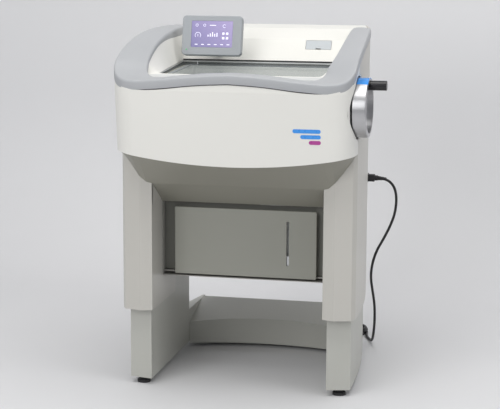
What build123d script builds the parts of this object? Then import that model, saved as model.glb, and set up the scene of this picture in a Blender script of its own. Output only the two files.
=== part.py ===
from build123d import *
import math
import os

# A floor-standing cryostat: a rotary microtome in a refrigerated cabinet that rises and
# sinks on two motor-driven columns.  +X is the handwheel side, -Y faces the user, +Z is up.
# Lengths are in millimetres and angles in degrees.

os.makedirs("parts", exist_ok=True)

# ---------------------------------------------------------------- driving dimensions
# cabinet covers, seen from above
half_width = 350.0            # middle of the cabinet to the outside of a side cover
deck_z = 1058.0               # top of the cabinet; its parts keep their place below it
side_straight_end = 80.0      # where the side covers start to curve inwards
rear_half_width = half_width - 68.0
rear_depth = 650.0
skin = 4.0                    # wall of the moulded covers
nose_inner_x = half_width - 94.0  # bay side of a column
nose_inner_y = 10.0
nose_seam_x = half_width - 60.0
nose_edge_x = half_width - 10.0
nose_edge_y = 14.0
nose_side_y = 30.0            # where the front strip meets the side cover
column_bottom = deck_z - 820.0
return_depth = 272.0          # depth of the column's inner skin
return_top = deck_z - 498.0
seam = 0.5                    # gap between covers on one body

# hood
hood_front = 110.0            # how far the hood stands in front of the columns
hood_bow = 13.0               # bow of its front from corner to middle
hood_lean = 25.0              # how far its lower edge stands behind its upper edge
hood_bottom = deck_z - 368.0
hood_smile = 35.0             # rise of the lower edge from the middle to the corners
hood_corner = 72.0
belly_rear = 124.0            # where the underside meets the bay
belly_end_z = deck_z - 508.0
belly_end_half_width = half_width - 114.0

# armrest
arm_thickness = 27.0
arm_width = 80.0
arm_overhang = 3.0
bar_depth = 64.0
bar_z = deck_z - 131.0        # underside of the front bar, at the middle
bar_end_z = deck_z - 153.0    # the same, near the corners
arm_front_z = deck_z - 68.0   # underside of an arm, beside the front of the window
arm_middle_z = deck_z - 28.0
arm_rear_z = deck_z - 15.0
arm_rear_y = 470.0
arm_steps = 26

# console behind the window
slope_foot_y = 388.0
slope_foot_z = deck_z - 102.0
crease_y = 428.0
crease_z = deck_z - 35.0
deck_front_y = 520.0
deck_front_drop = 6.0
deck_round = 2.5
console_rear_y = 642.0
well_half_width = half_width - 88.0

# chamber and sliding window
window_tilt = 2.0
window_front_y = 30.0
window_front_half = half_width - 112.0
window_rear_half = half_width - 92.0
window_z = deck_z - 117.0     # top of the bezel at the front of the window
bezel_plate = 4.0
glass_thickness = 5.0
glass_half = half_width - 84.0
glass_front_y = 12.0
glass_rear_y = 392.0
glass_play = 0.8
gasket_height = 3.0
gasket_gap = 0.4
garage_end_y = 590.0
tub_half = half_width - 124.0
tub_front_y = 44.0
tub_rear_y = 372.0
tub_floor_z = deck_z - 398.0
tub_wall = 2.0
foam = 22.0
recess_half = 100.0
recess_bottom = deck_z - 358.0
recess_top = deck_z - 153.0
recess_corner = 22.0

# bay between the columns
bay_top = deck_z - 512.0
bay_floor = deck_z - 736.0
bay_sheet = 2.0
bay_front_y = 134.0
bay_rear_y = 640.0
drawer_half = half_width - 133.0
drawer_bottom = deck_z - 729.0
drawer_top = deck_z - 524.0
drawer_front_y = 126.0
drawer_panel = 6.0
tray_half = drawer_half - 12.0
tray_depth = 290.0
tray_height = 60.0
tray_floor_z = deck_z - 722.0
tray_sheet = 2.0
runner_height = 5.0
runner_grip = 20.0            # how far a runner reaches under the tray
running_gap = 0.3
slot_x = 130.0
slot_width = 8.0
slot_length = 135.0
slot_middle_z = deck_z - 624.0

# base
leg_inner_x = half_width - 84.0
leg_outer_x = half_width - 15.0
leg_front_y = 34.0
leg_front_angle = 13.0
leg_bottom = 20.0
leg_step_z = 128.0
leg_top = 430.0
leg_column_depth = 486.0
leg_foot_depth = 705.0
leg_rear_x = rear_half_width - 8.0
leg_wall = 4.0
foot_diameter = 40.0
foot_y = 70.0
foot_pad = 9.0
castor_diameter = 50.0
castor_width = 18.0
castor_x = 225.0
castor_y = 640.0
castor_cheek = 3.0
castor_axle = 4.0
stretcher_front_y = 540.0     # front of the stretcher, at the middle
stretcher_bow = 46.0          # how much nearer the front it is at the legs
stretcher_bottom = 12.0
stretcher_front_z = 84.0
stretcher_rear_y = 672.0
stretcher_rear_z = 132.0

# lift
lift_x = half_width - 53.0
lift_y = 300.0
lift_outer = 46.0
lift_wall = 3.0
lift_play = 0.8
lift_outer_top = 470.0
lift_inner_bottom = deck_z - 906.0
lift_inner_top = deck_z - 438.0

# handwheel on the right
wheel_y = 26.0
wheel_z = deck_z - 200.0
wheel_radius = 85.0
wheel_inner_x = half_width - 6.0
wheel_width = 38.0
wheel_rim = 13.0
dish_radius = 96.0
dish_depth = 12.0
grip_radius = 14.0
grip_orbit = 64.0
grip_end_x = wheel_inner_x + 86.0
grip_start_x = wheel_inner_x + 28.0
shaft_radius = 10.0
shaft_play = 0.05
pulley_radius = 28.0
pulley_width = 14.0
pulley_x = half_width - 60.0
belt_thickness = 3.0
belt_play = 0.3
crank_y = 450.0
crank_z = deck_z - 258.0
crank_throw = 26.0
crank_radius = 34.0
crank_x = 124.0
crank_shaft_radius = 8.0

# microtome in the chamber
head_z = deck_z - 258.0
specimen_radius = 26.0
guide_rod_radius = 8.0
guide_rod_x = 36.0
guide_rod_y = 430.0
housing_half = 112.0
housing_rear_y = 500.0
housing_bottom = deck_z - 374.0
housing_top = deck_z - 137.0
housing_wall = 4.0
running_fit = 0.05
slide_half = 56.0
slide_height = 78.0
slide_depth = 36.0
arm_radius = 24.0
tilt_y = 284.0
ear_reach = 20.0
ear_height = 9.0
head_plate = 6.0
chuck_radius = 15.0
chuck_depth = 10.0
knife_y = 205.0
knife_base_half = 78.0
knife_base_depth = 92.0
knife_base_height = 34.0
knife_block_height = 74.0
knife_tilt = 12.0

# screen
screen_x = -145.0
screen_y = 300.0
screen_z = deck_z - 20.0
screen_width = 187.0
screen_height = 122.0
screen_depth = 22.0
screen_lean = 12.0
screen_corner = 12.0

# flap in the slope
flap_x = 166.0
flap_width = 79.0
flap_length = 30.0
flap_gap = 1.0
pocket_depth = 16.0

# mains inlet in the right side cover
inlet_y = 500.0
inlet_z = deck_z - 472.0
inlet_width = 30.0
inlet_height = 26.0
connector_length = 33.0
connector_width = 24.0
connector_height = 22.0
connector_seat = 4.0
inlet_corner = 3.0

# rear cover
vent_count = 12
vent_pitch = 13.0
vent_length = 300.0
vent_height = 5.0
vent_middle_z = deck_z - 618.0
upper_vent_z = deck_z - 178.0
switch_x = -190.0
switch_z = deck_z - 438.0
switch_width = 22.0
switch_height = 30.0

# cooling unit in the bay
compressor_x = -110.0
compressor_y = 540.0
compressor_radius = 74.0
compressor_height = 170.0
fan_x = 120.0
fan_z = deck_z - 626.0
fan_radius = 72.0
condenser_width = 190.0
condenser_height = 180.0
condenser_depth = 34.0
fin_count = 14
cord_diameter = 8.4

# sliding window's handle, rails and seal
handle_y = 44.0
handle_length = 120.0
handle_width = 12.0
handle_height = 4.5
rail_wall = 8.0
rail_lip = 17.0
rail_sheet = 3.0
rail_front_y = 8.0
gasket_width = 14.0
tub_corner = 14.0
shelf_z = deck_z - 243.0
shelf_length = 240.0
shelf_height = 30.0
shelf_width = 40.0
shelf_hole_depth = 20.0
shelf_hole_radius = 6.5

# cold microtome's smaller parts
feed_radius = 24.0
pin_radius = 4.0
ear_x = 17.0
ear_thickness = 6.0
ear_radius = 9.0
ear_play = 0.5
bed_half = 110.0
bed_middle_y = 235.0
bed_length = 220.0
bed_height = 4.0
bed_margin = 10.0
key_half = 18.0
key_height = 10.0
lever_length = 44.0
lever_bore_depth = 16.0
knife_half = 62.0
blade_seat = 12.0
blade_half = 40.0
blade_height = 10.0
plate_half = 42.0
hinge_radius = 3.0

# handwheel's smaller parts
wheel_web = 8.0
hub_radius = 18.0
hub_depth = 28.0
grip_pin = 5.0
insert_angle = 34.0
insert_thickness = 2.5
lock_radius = 88.0
lock_bore = 60.0
lock_thickness = 4.0
lock_tab_turn = -150.0
lock_tab = 16.0
bearing_radius = 22.0
bearing_length = 18.0
crank_plate = 6.0
crank_pin = 5.0
bearing_x = 180.0
bearing_width = 20.0
bearing_block = 40.0
bearing_drop = 60.0
bearing_foot = 6.0

# screen's display and pivot
screen_round = 3.0
display_width = 130.0
display_height = 82.0
display_up = 4.0
display_recess = 2.0
pivot_y = 338.0
pivot_z = deck_z - 28.0
pivot_reach = 20.0
barrel_radius = 9.0
barrel_half = 14.0

# bay, drawer and cooling unit
runner_length = 300.0
bottle_y = 200.0
bottle_side = 110.0
bottle_height = 168.0
bottle_neck = 18.0
bottle_cap = 18.0
condenser_y = 600.0
motor_radius = 24.0
fan_blades = 5
beam_height = 16.0
beam_depth = 60.0
foot_x = 300.0
coil_bottom = 0.2
coil_x = 228.0
coil_y = 800.0
coil_outer = 60.0
coil_inner = 36.0
coil_height = 25.0
plug_length = 46.0
plug_end_x = 174.4
plug_y = 844.0
plug_width = 34.0
plug_height = 26.0

# ---------------------------------------------------------------- the shared datum
grip_reach = grip_end_x
front_reach = hood_front + arm_overhang
rear_reach = leg_foot_depth
mid_x = (grip_reach - half_width - arm_overhang) / 2
mid_y = (rear_reach - front_reach) / 2


def level(z, x=0.0, y=0.0):
    """A plane that looks up, with its own X and Y along the machine's."""
    return Plane(origin=(x - mid_x, y - mid_y, z))


def facing_front(y, x=0.0, z=0.0):
    """A plane that looks at the user; its own X and Y are the machine's X and Z."""
    return Plane(origin=(x - mid_x, y - mid_y, z), x_dir=(1, 0, 0), z_dir=(0, -1, 0))


def facing_right(x, y=0.0, z=0.0):
    """A plane that looks to +X; its own X and Y are the machine's Y and Z."""
    return Plane(origin=(x - mid_x, y - mid_y, z), x_dir=(0, 1, 0), z_dir=(1, 0, 0))


middle = facing_right(0)


def finish(piece, label):
    """Name a finished piece and write it."""
    piece.part.label = label
    export_step(piece.part, f"parts/{label}.step")


# ---------------------------------------------------------------- shared outlines
def column_plan(inset=0.0):
    """The right-hand column and side cover, cut level, as one closed outline."""
    with BuildSketch() as plan:
        with BuildLine():
            Polyline((nose_inner_x, rear_depth), (nose_inner_x, nose_inner_y), (nose_seam_x, 0),
                     (nose_edge_x, nose_edge_y), (half_width, nose_side_y),
                     (half_width, side_straight_end))
            TangentArc((half_width, side_straight_end), (rear_half_width, rear_depth), tangent=(0, 1))
            Line((rear_half_width, rear_depth), (nose_inner_x, rear_depth))
        make_face()
        if inset:
            offset(amount=-inset, kind=Kind.INTERSECTION)
    return plan.sketch


def leg_plan(depth, inset=0.0):
    """The right-hand leg, cut level, back to a depth."""
    front_step = (leg_outer_x - leg_inner_x) * math.tan(math.radians(leg_front_angle))
    with BuildSketch() as plan:
        with BuildLine():
            Polyline((leg_inner_x, leg_foot_depth), (leg_inner_x, leg_front_y),
                     (leg_outer_x, leg_front_y + front_step), (leg_outer_x, side_straight_end))
            TangentArc((leg_outer_x, side_straight_end), (leg_rear_x, leg_foot_depth), tangent=(0, 1))
            Line((leg_rear_x, leg_foot_depth), (leg_inner_x, leg_foot_depth))
        make_face()
        if inset:
            offset(amount=-inset, kind=Kind.INTERSECTION)
        with Locations((leg_inner_x, depth + 500)):
            Rectangle(400, 1000, mode=Mode.SUBTRACT)
    return plan.sketch


def round_front(half, front, rear, bow, corner, inset=0.0):
    """A level cut with a bowed front, round front corners and straight sides."""
    with BuildSketch() as plan:
        with BuildLine():
            Polyline((half, front + bow), (half, rear), (-half, rear), (-half, front + bow))
            ThreePointArc((-half, front + bow), (0, front), (half, front + bow))
        make_face()
        fillet(plan.vertices().group_by(Axis.Y)[0], radius=corner)
        if inset:
            offset(amount=-inset, kind=Kind.INTERSECTION)
    return plan.sketch


def hood_plan(front, inset=0.0):
    """The hood, cut level."""
    return round_front(half_width, -front, nose_side_y - seam, hood_bow, hood_corner, inset)


def console_plan(inset=0.0):
    """Everything behind the hood's front bar, cut level, between the outer faces."""
    with BuildSketch() as plan:
        with BuildLine():
            Polyline((half_width, side_straight_end), (half_width, nose_side_y),
                     (-half_width, nose_side_y), (-half_width, side_straight_end))
            TangentArc((-half_width, side_straight_end), (-rear_half_width, rear_depth), tangent=(0, 1))
            Line((-rear_half_width, rear_depth), (rear_half_width, rear_depth))
            TangentArc((half_width, side_straight_end), (rear_half_width, rear_depth), tangent=(0, 1))
        make_face()
        if inset:
            offset(amount=-inset, kind=Kind.INTERSECTION)
    return plan.sketch


def side_x(y):
    """Half width of the cabinet's outside at a depth."""
    run = rear_depth - side_straight_end
    drop = half_width - rear_half_width
    radius = (run ** 2 + drop ** 2) / (2 * drop)
    if y <= side_straight_end:
        return half_width
    return half_width - radius + math.sqrt(radius ** 2 - (y - side_straight_end) ** 2)


def arc_rise(x, half, rise):
    """How far an arc over a chord of 2 * half has moved from its middle at x."""
    radius = (half ** 2 + rise ** 2) / (2 * rise)
    return radius - math.sqrt(radius ** 2 - x ** 2)


# ---------------------------------------------------------------- armrest
arm_rear_x = side_x(arm_rear_y) + arm_overhang
hood_edge_x = half_width + arm_overhang
bar_front_y = -hood_front - arm_overhang
corner_x = half_width - hood_corner
corner_y = arc_rise(corner_x, half_width, hood_bow) + hood_corner - hood_front
corner_reach = hood_corner + arm_overhang
# the outer edge goes round the hood's corner and climbs as it goes
corner_climb = [(-90.0, 0.0), (-62.0, 6.0), (-40.0, 24.0), (-18.0, 50.0), (0.0, 70.0)]
corner_points = [(corner_x + corner_reach * math.cos(math.radians(turn)),
                  corner_y + corner_reach * math.sin(math.radians(turn)),
                  bar_end_z + climb) for turn, climb in corner_climb]
with BuildLine() as arm_outer_rail:
    Spline((0, bar_front_y, bar_z),
           (half_width * 0.4, bar_front_y + arc_rise(half_width * 0.4, half_width, hood_bow), bar_z - 12),
           *corner_points,
           (hood_edge_x, 40, arm_front_z - 1),
           (hood_edge_x, 110, arm_front_z + 12),
           (side_x(270) + arm_overhang, 270, arm_middle_z - 4),
           (arm_rear_x, arm_rear_y, arm_rear_z - 12),
           tangents=((1, 0, 0), (0, 1, 0)))
with BuildLine() as arm_inner_rail:
    Spline((0, bar_front_y + bar_depth, bar_z),
           (half_width * 0.46, bar_front_y + bar_depth + 2, bar_z - 11),
           (half_width - hood_corner - 14, bar_front_y + bar_depth + 13, bar_end_z + 3),
           (half_width - arm_width + 7, bar_front_y + bar_depth + 33, bar_end_z + 30),
           (half_width - arm_width + 3, 12, arm_front_z - 18),
           (half_width - arm_width, 50, arm_front_z - 1),
           (half_width - arm_width - 4, 110, arm_front_z + 12),
           (half_width - arm_width - 8, 270, arm_middle_z - 4),
           (arm_rear_x - arm_width + 12, arm_rear_y, arm_rear_z - 12),
           tangents=((1, 0, 0), (0, 1, 0)))


def arm_band(extra=0.0):
    """The right-hand half of the armrest, from the middle of the bar to the arm's end."""
    sections = []
    for step in range(arm_steps + 1):
        outer = arm_outer_rail.line @ (step / arm_steps)
        inner = arm_inner_rail.line @ (step / arm_steps)
        across = Vector(inner.X - outer.X, inner.Y - outer.Y, 0)
        width = across.length
        high = arm_thickness + extra
        plane = Plane(origin=(outer.X - mid_x, outer.Y - mid_y, outer.Z), x_dir=across,
                      z_dir=across.cross(Vector(0, 0, 1)))
        with BuildSketch(plane) as section:
            with BuildLine():
                Polyline((0, high * 0.8), (0, 0), (width, 0), (width, high * 0.5))
                Spline((width, high * 0.5), (width * 0.5, high * 0.94), (high * 0.15, high), (0, high * 0.8))
            make_face()
        sections.append(section.sketch)
    return loft(sections, ruled=True)


right_arm = arm_band()

with BuildPart() as armrest:
    add(right_arm)
    mirror(about=middle)
finish(armrest, "armrest")

# the space over the armrest, from inside its thickness up: covers under it end there
rail_points = [arm_outer_rail.line @ (step / arm_steps) for step in range(arm_steps + 1)]
bar_points = [p for p in rail_points if p.X < half_width - hood_corner]
side_points = [p for p in rail_points if p.X >= half_width - hood_corner]
over_arm = arm_thickness / 2
sky = 1300.0

with BuildPart() as over_armrest:
    with BuildSketch(facing_front(bar_front_y + bar_depth / 2)):
        with BuildLine():
            crest = Spline([(p.X, p.Z + over_arm) for p in bar_points + side_points[:1]], tangents=((1, 0), (1, 0)))
            Polyline(crest @ 1, ((crest @ 1).X, sky), (0, sky), crest @ 0)
        make_face()
    extrude(amount=2 * hood_front)
    with BuildSketch(facing_right(half_width - arm_width - 4)):
        with BuildLine():
            flank = Spline([(p.Y, p.Z + over_arm) for p in side_points])
            Polyline(flank @ 1, ((flank @ 1).X, sky), (-2 * hood_front, sky), (-2 * hood_front, (flank @ 0).Y),
                     flank @ 0)
        make_face()
    extrude(amount=half_width)
    mirror(about=middle)


def trim_under_armrest():
    """Cut the part in hand off at the armrest's underside."""
    add(over_armrest.part, mode=Mode.SUBTRACT)
    add(armrest.part, mode=Mode.SUBTRACT)


# ---------------------------------------------------------------- hood and underside
hood_foot = hood_front - hood_lean


def hood_block(inset=0.0):
    """The hood's volume: leaning up to the armrest and upright behind it."""
    with BuildPart() as block:
        with BuildSketch(level(hood_bottom)):
            add(hood_plan(hood_foot, inset))
        with BuildSketch(level(bar_end_z)):
            add(hood_plan(hood_front, inset))
        loft()
        with BuildSketch(level(bar_end_z)):
            add(hood_plan(hood_front, inset))
        extrude(amount=arm_front_z + arm_thickness - bar_end_z)
    return block.part


def smile_region(limit, drop=0.0):
    """Front view: the region between the hood's curved lower edge and a level."""
    end_z = hood_bottom + hood_smile - drop
    with BuildSketch() as region:
        with BuildLine():
            ThreePointArc((-half_width, end_z), (0, hood_bottom - drop), (half_width, end_z))
            Polyline((half_width, end_z), (half_width * 1.1, end_z), (half_width * 1.1, limit),
                     (-half_width * 1.1, limit), (-half_width * 1.1, end_z), (-half_width, end_z))
        make_face()
    return region.sketch


hood_outside = hood_block()
hood_inside = hood_block(skin)

with BuildPart() as front_panel:
    add(hood_outside)
    add(hood_inside, mode=Mode.SUBTRACT)
    with BuildSketch(level(hood_bottom - 10)):
        with Locations((0, nose_side_y + 50 - skin - seam)):
            Rectangle(2 * (half_width - skin), 110)
    extrude(amount=400, mode=Mode.SUBTRACT)
    with BuildSketch(facing_front(100)):
        add(smile_region(hood_bottom - 20))
    extrude(amount=400, mode=Mode.SUBTRACT)
    # room for the handwheel's dish
    with BuildSketch(facing_right(half_width - 60)):
        with Locations((wheel_y, wheel_z)):
            Circle(dish_radius)
    extrude(amount=100, mode=Mode.SUBTRACT)
    trim_under_armrest()
finish(front_panel, "front_panel")



def hood_edge(x):
    """Where the hood's lower edge is, as (y, z), at x."""
    z = hood_bottom + arc_rise(x, half_width, hood_smile)
    straight = half_width - hood_corner
    y = -hood_foot + arc_rise(min(x, straight), half_width, hood_bow)
    if x > straight:
        y += hood_corner - math.sqrt(hood_corner ** 2 - (x - straight) ** 2)
    return y, z


def nose_y(x):
    """Front of a column at x."""
    if x < nose_seam_x:
        return nose_inner_y * (nose_seam_x - x) / (nose_seam_x - nose_inner_x)
    return nose_edge_y * (x - nose_seam_x) / (nose_edge_x - nose_seam_x)


def underside_strip(x, *points):
    """A cut through the underside's sheet, facing +X."""
    upper = [(y, z + skin) for y, z in reversed(points)]
    with BuildSketch(facing_right(x)) as strip:
        with BuildLine():
            Polyline(*points, *upper, close=True)
        make_face()
    return strip.sketch


# the underside: one bent sheet between the columns, with a fan up to each hood corner
fold = (nose_inner_y - 2 * seam, 621.0)
seam_rise = [(0.0, 0.0), (0.16, 0.04), (0.38, 0.22), (0.62, 0.50), (0.84, 0.78), (0.97, 0.97)]
bay_half = nose_inner_x - seam
middle_strips = []
for step in range(-8, 9):
    strip_x = bay_half * step / 8
    edge_y, edge_z = hood_edge(abs(strip_x))
    middle_strips.append(underside_strip(strip_x, (edge_y, edge_z - seam), fold, (belly_rear, belly_end_z)))
corner_strips = []
for across, up in seam_rise:
    strip_x = bay_half + (half_width - bay_half) * across
    edge_y, edge_z = hood_edge(strip_x)
    low_z = fold[1] + (hood_bottom + hood_smile - fold[1]) * up
    low_y = nose_y(strip_x) - 2 * seam
    corner_strips.append(underside_strip(strip_x, (edge_y, edge_z - seam), (max(low_y, edge_y + 6), low_z)))
underside_middle = loft(middle_strips, ruled=True)
underside_fan = loft(corner_strips, ruled=True)

with BuildPart() as belly_pan:
    add(underside_fan)
    mirror(about=middle)
    add(underside_middle)
    with BuildSketch(level(belly_end_z - 5)):
        add(column_plan(-seam))
        mirror(about=Plane.YZ)
    extrude(amount=200, mode=Mode.SUBTRACT)
    add(front_panel.part, mode=Mode.SUBTRACT)
finish(belly_pan, "belly_pan")

# ---------------------------------------------------------------- side covers and rear
nose_top = hood_bottom + hood_smile - 2 * seam



def slope_y(z):
    """Depth of the console's slope at a height."""
    return slope_foot_y + (z - slope_foot_z) * (crease_y - slope_foot_y) / (crease_z - slope_foot_z)


with BuildPart() as side_blank:
    with BuildSketch(level(column_bottom)):
        add(column_plan())
        add(column_plan(skin), mode=Mode.SUBTRACT)
        with Locations((nose_inner_x, rear_depth)):
            Rectangle(4 * half_width, 2 * (skin + seam), mode=Mode.SUBTRACT)
    extrude(amount=deck_z - column_bottom)
    # the inner skin lines only the front of the column, and its rear edge leans back
    with BuildSketch(facing_right(nose_inner_x - 2)):
        with BuildLine():
            Polyline((return_depth, column_bottom - 1), (return_depth + 60, return_top),
                     (nose_side_y, return_top), (nose_side_y, deck_z + 1), (rear_depth, deck_z + 1),
                     (rear_depth, column_bottom - 1), close=True)
        make_face()
    extrude(amount=skin + 4, mode=Mode.SUBTRACT)
    # the nose ends under the hood
    with BuildSketch(level(nose_top)):
        with Locations((half_width, nose_side_y - 100)):
            Rectangle(400, 200)
    extrude(amount=sky, mode=Mode.SUBTRACT)
    trim_under_armrest()

with BuildPart() as side_shell_right:
    add(side_blank.part)
    with BuildSketch(facing_right(nose_seam_x)):
        with Locations((wheel_y, wheel_z)):
            Circle(dish_radius)
        with Locations((inlet_y, inlet_z)):
            RectangleRounded(inlet_width, inlet_height, inlet_corner)
    extrude(amount=100, mode=Mode.SUBTRACT)
finish(side_shell_right, "side_shell_right")

with BuildPart() as side_shell_left:
    add(mirror(side_blank.part, about=middle))
finish(side_shell_left, "side_shell_left")

with BuildPart() as rear_cover:
    with BuildSketch(level(bay_floor, y=rear_depth - skin / 2)):
        Rectangle(2 * (rear_half_width - skin - seam), skin)
    extrude(amount=deck_z - skin - seam - bay_floor)
    with BuildSketch(facing_front(rear_depth + 10)):
        with Locations((0, vent_middle_z)):
            with GridLocations(0, vent_pitch, 1, vent_count):
                SlotOverall(vent_length, vent_height)
        with Locations((0, upper_vent_z)):
            with GridLocations(0, vent_pitch, 1, vent_count // 2):
                SlotOverall(vent_length * 0.6, vent_height)
        with Locations((switch_x, switch_z)):
            Rectangle(switch_width, switch_height)
    extrude(amount=40, mode=Mode.SUBTRACT)
finish(rear_cover, "rear_cover")

# ---------------------------------------------------------------- console
slope_angle = math.degrees(math.atan2(crease_z - slope_foot_z, crease_y - slope_foot_y))
flap_middle_z = crease_z - 3 - flap_length / 2 * math.sin(math.radians(slope_angle))


def slope_plane(x, z, depth=0.0):
    """A plane on the console's slope, or a depth below it, looking out; its Y runs up the slope."""
    out = Vector(0, -math.sin(math.radians(slope_angle)), math.cos(math.radians(slope_angle)))
    origin = Vector(x - mid_x, slope_y(z) - mid_y, z) - out * depth
    return Plane(origin=origin, x_dir=(1, 0, 0), z_dir=out)


with BuildPart() as console:
    with BuildSketch(facing_right(-half_width)):
        with BuildLine():
            FilletPolyline((slope_foot_y, slope_foot_z), (crease_y, crease_z),
                           (deck_front_y, deck_z - deck_front_drop), (console_rear_y, deck_z),
                           (console_rear_y, deck_z - 60), radius=deck_round)
            offset(amount=skin, side=Side.RIGHT)
        make_face()
    extrude(amount=2 * half_width)
    with BuildSketch(level(slope_foot_z - 30)):
        add(console_plan(skin + seam))
    extrude(amount=200, mode=Mode.INTERSECT)
    # the pocket behind the flap
    with BuildSketch(slope_plane(flap_x, flap_middle_z, skin / 2)):
        RectangleRounded(flap_width + 2 * flap_gap + 4, flap_length + 2 * flap_gap + 4, 4)
    extrude(amount=-pocket_depth)
    with BuildSketch(slope_plane(flap_x, flap_middle_z)):
        RectangleRounded(flap_width + 2 * flap_gap, flap_length + 2 * flap_gap, 3)
    extrude(amount=-pocket_depth, mode=Mode.SUBTRACT)
    add(armrest.part, mode=Mode.SUBTRACT)
finish(console, "console")

with BuildPart() as filter_flap:
    with BuildSketch(slope_plane(flap_x, flap_middle_z)):
        RectangleRounded(flap_width, flap_length, 3)
        with Locations((0, -flap_length / 2)):
            SlotOverall(18, 7, mode=Mode.SUBTRACT)
    extrude(amount=-skin + 1)
finish(filter_flap, "filter_flap")

# ---------------------------------------------------------------- window well and bezel
def window_plane(depth=0.0):
    """The window's tilted plane, a depth below the bezel's top; its Y runs to the rear."""
    lean = math.radians(window_tilt)
    out = Vector(0, -math.sin(lean), math.cos(lean))
    origin = Vector(-mid_x, window_front_y - mid_y, window_z) - out * depth
    return Plane(origin=origin, x_dir=(1, 0, 0), z_dir=out)


def window_rectangle(half, front_y, rear_y):
    """A rectangle on the window's plane between two depths of the cabinet."""
    with Locations((0, (front_y + rear_y) / 2 - window_front_y)):
        Rectangle(2 * half, rear_y - front_y)


glass_depth = bezel_plate + glass_play
gasket_depth = glass_depth + glass_thickness + gasket_gap
sill_depth = gasket_depth + gasket_height
opening_length = slope_foot_y - 3 - window_front_y

# the bezel's front edge follows the inside of the armrest's bar
inner_points = [arm_inner_rail.line @ (step / arm_steps) for step in range(arm_steps + 1)]
bezel_edge = [(max(p.X - seam, 0), p.Y + seam - window_front_y) for p in inner_points if p.Y < rail_front_y]
bezel_rear = garage_end_y - window_front_y
with BuildPart() as chamber_bezel:
    with BuildSketch(window_plane(bezel_plate)):
        with BuildLine():
            Polyline(*bezel_edge, (bezel_edge[-1][0], rail_front_y - window_front_y),
                     (rear_half_width, rail_front_y - window_front_y), (rear_half_width, bezel_rear),
                     (0, bezel_rear), close=True)
        make_face()
        mirror(about=Plane.YZ)
        with BuildLine():
            Polyline((-window_front_half, 0), (window_front_half, 0), (window_rear_half, opening_length),
                     (-window_rear_half, opening_length), close=True)
        make_face(mode=Mode.SUBTRACT)
    extrude(amount=bezel_plate)
finish(chamber_bezel, "chamber_bezel")

# side walls of the well: they lean out to meet the arms
well_foot_z = window_z + 13.5
well_head_z = arm_rear_z
well_reach = well_head_z - well_foot_z


def well_quad(front_x, rear_x, z):
    with BuildSketch(level(z)) as quad:
        with BuildLine():
            Polyline((front_x, window_front_y - 6), (front_x + skin, window_front_y - 6),
                     (rear_x + skin, crease_y), (rear_x, crease_y), close=True)
        make_face()
    return quad.sketch


right_well = loft([well_quad(window_front_half - 3, window_rear_half + 1, well_foot_z),
                   well_quad(window_front_half + well_reach * 1.25, window_rear_half + 14, well_head_z)], ruled=True)
with BuildPart() as well_walls:
    add(right_well)
    mirror(about=middle)
    with BuildSketch(facing_right(-half_width)):
        with BuildLine():
            Polyline((slope_foot_y, slope_foot_z - 30), (slope_foot_y, slope_foot_z), (crease_y, crease_z),
                     (crease_y, sky), (crease_y + 50, sky), (crease_y + 50, slope_foot_z - 30), close=True)
        make_face()
    extrude(amount=2 * half_width, mode=Mode.SUBTRACT)
    trim_under_armrest()
    # at the front the walls end on the arms' inner faces
    with BuildSketch(level(well_foot_z)):
        with GridLocations(2 * (half_width - arm_width / 2), 0, 2, 1):
            Rectangle(arm_width - 6, 2 * tub_front_y)
    extrude(amount=200, mode=Mode.SUBTRACT)
finish(well_walls, "well_walls")

# ---------------------------------------------------------------- sliding window
with BuildPart() as window_glass:
    with BuildSketch(window_plane(glass_depth + glass_thickness)):
        window_rectangle(glass_half, glass_front_y, glass_rear_y)
    extrude(amount=glass_thickness)
finish(window_glass, "window_glass")

with BuildPart() as window_handle:
    with BuildSketch(window_plane(glass_depth)):
        with Locations((0, handle_y - window_front_y)):
            SlotOverall(handle_length, handle_width)
    extrude(amount=handle_height)
    fillet(window_handle.faces().sort_by(Axis.Z)[-1].edges(), radius=handle_height / 3)
finish(window_handle, "window_handle")

rail_outer = glass_half + glass_play + rail_wall
rail_length = garage_end_y - rail_front_y
with BuildPart() as window_rails:
    with BuildSketch(window_plane(bezel_plate)):
        window_rectangle(rail_outer, rail_front_y, garage_end_y)
        with Locations((0, (rail_front_y + garage_end_y) / 2 - rail_wall - window_front_y)):
            Rectangle(2 * (glass_half + glass_play), rail_length, mode=Mode.SUBTRACT)
    extrude(amount=-(gasket_depth - bezel_plate))
    with BuildSketch(window_plane(gasket_depth)):
        window_rectangle(rail_outer, rail_front_y, garage_end_y)
        with Locations((0, (rail_front_y + garage_end_y) / 2 - rail_wall - window_front_y)):
            Rectangle(2 * (rail_outer - rail_lip), rail_length, mode=Mode.SUBTRACT)
    extrude(amount=-rail_sheet)
finish(window_rails, "window_rails")

# ---------------------------------------------------------------- chamber
tub_out = tub_half + tub_wall
tub_length = tub_rear_y - tub_front_y
tub_middle_y = (tub_rear_y + tub_front_y) / 2
foam_floor_z = tub_floor_z - tub_wall - foam
foam_rear_y = tub_rear_y + tub_wall + foam


# the opening in the rear wall for the specimen's travel
with BuildPart() as recess:
    with BuildSketch(facing_front(foam_rear_y + foam, z=(recess_bottom + recess_top) / 2)):
        RectangleRounded(2 * recess_half, recess_top - recess_bottom, recess_corner)
    extrude(amount=3 * foam)


with BuildPart() as chamber_tub:
    with BuildSketch(level(tub_floor_z - tub_wall, y=tub_middle_y)):
        RectangleRounded(2 * tub_out, tub_length + 2 * tub_wall, tub_corner + tub_wall)
    extrude(amount=window_z - tub_floor_z + 60)
    with BuildSketch(level(tub_floor_z, y=tub_middle_y)):
        RectangleRounded(2 * tub_half, tub_length, tub_corner)
    extrude(amount=window_z - tub_floor_z + 80, mode=Mode.SUBTRACT)
    split(bisect_by=window_plane(sill_depth), keep=Keep.BOTTOM)
    add(recess.part, mode=Mode.SUBTRACT)
finish(chamber_tub, "chamber_tub")

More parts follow.
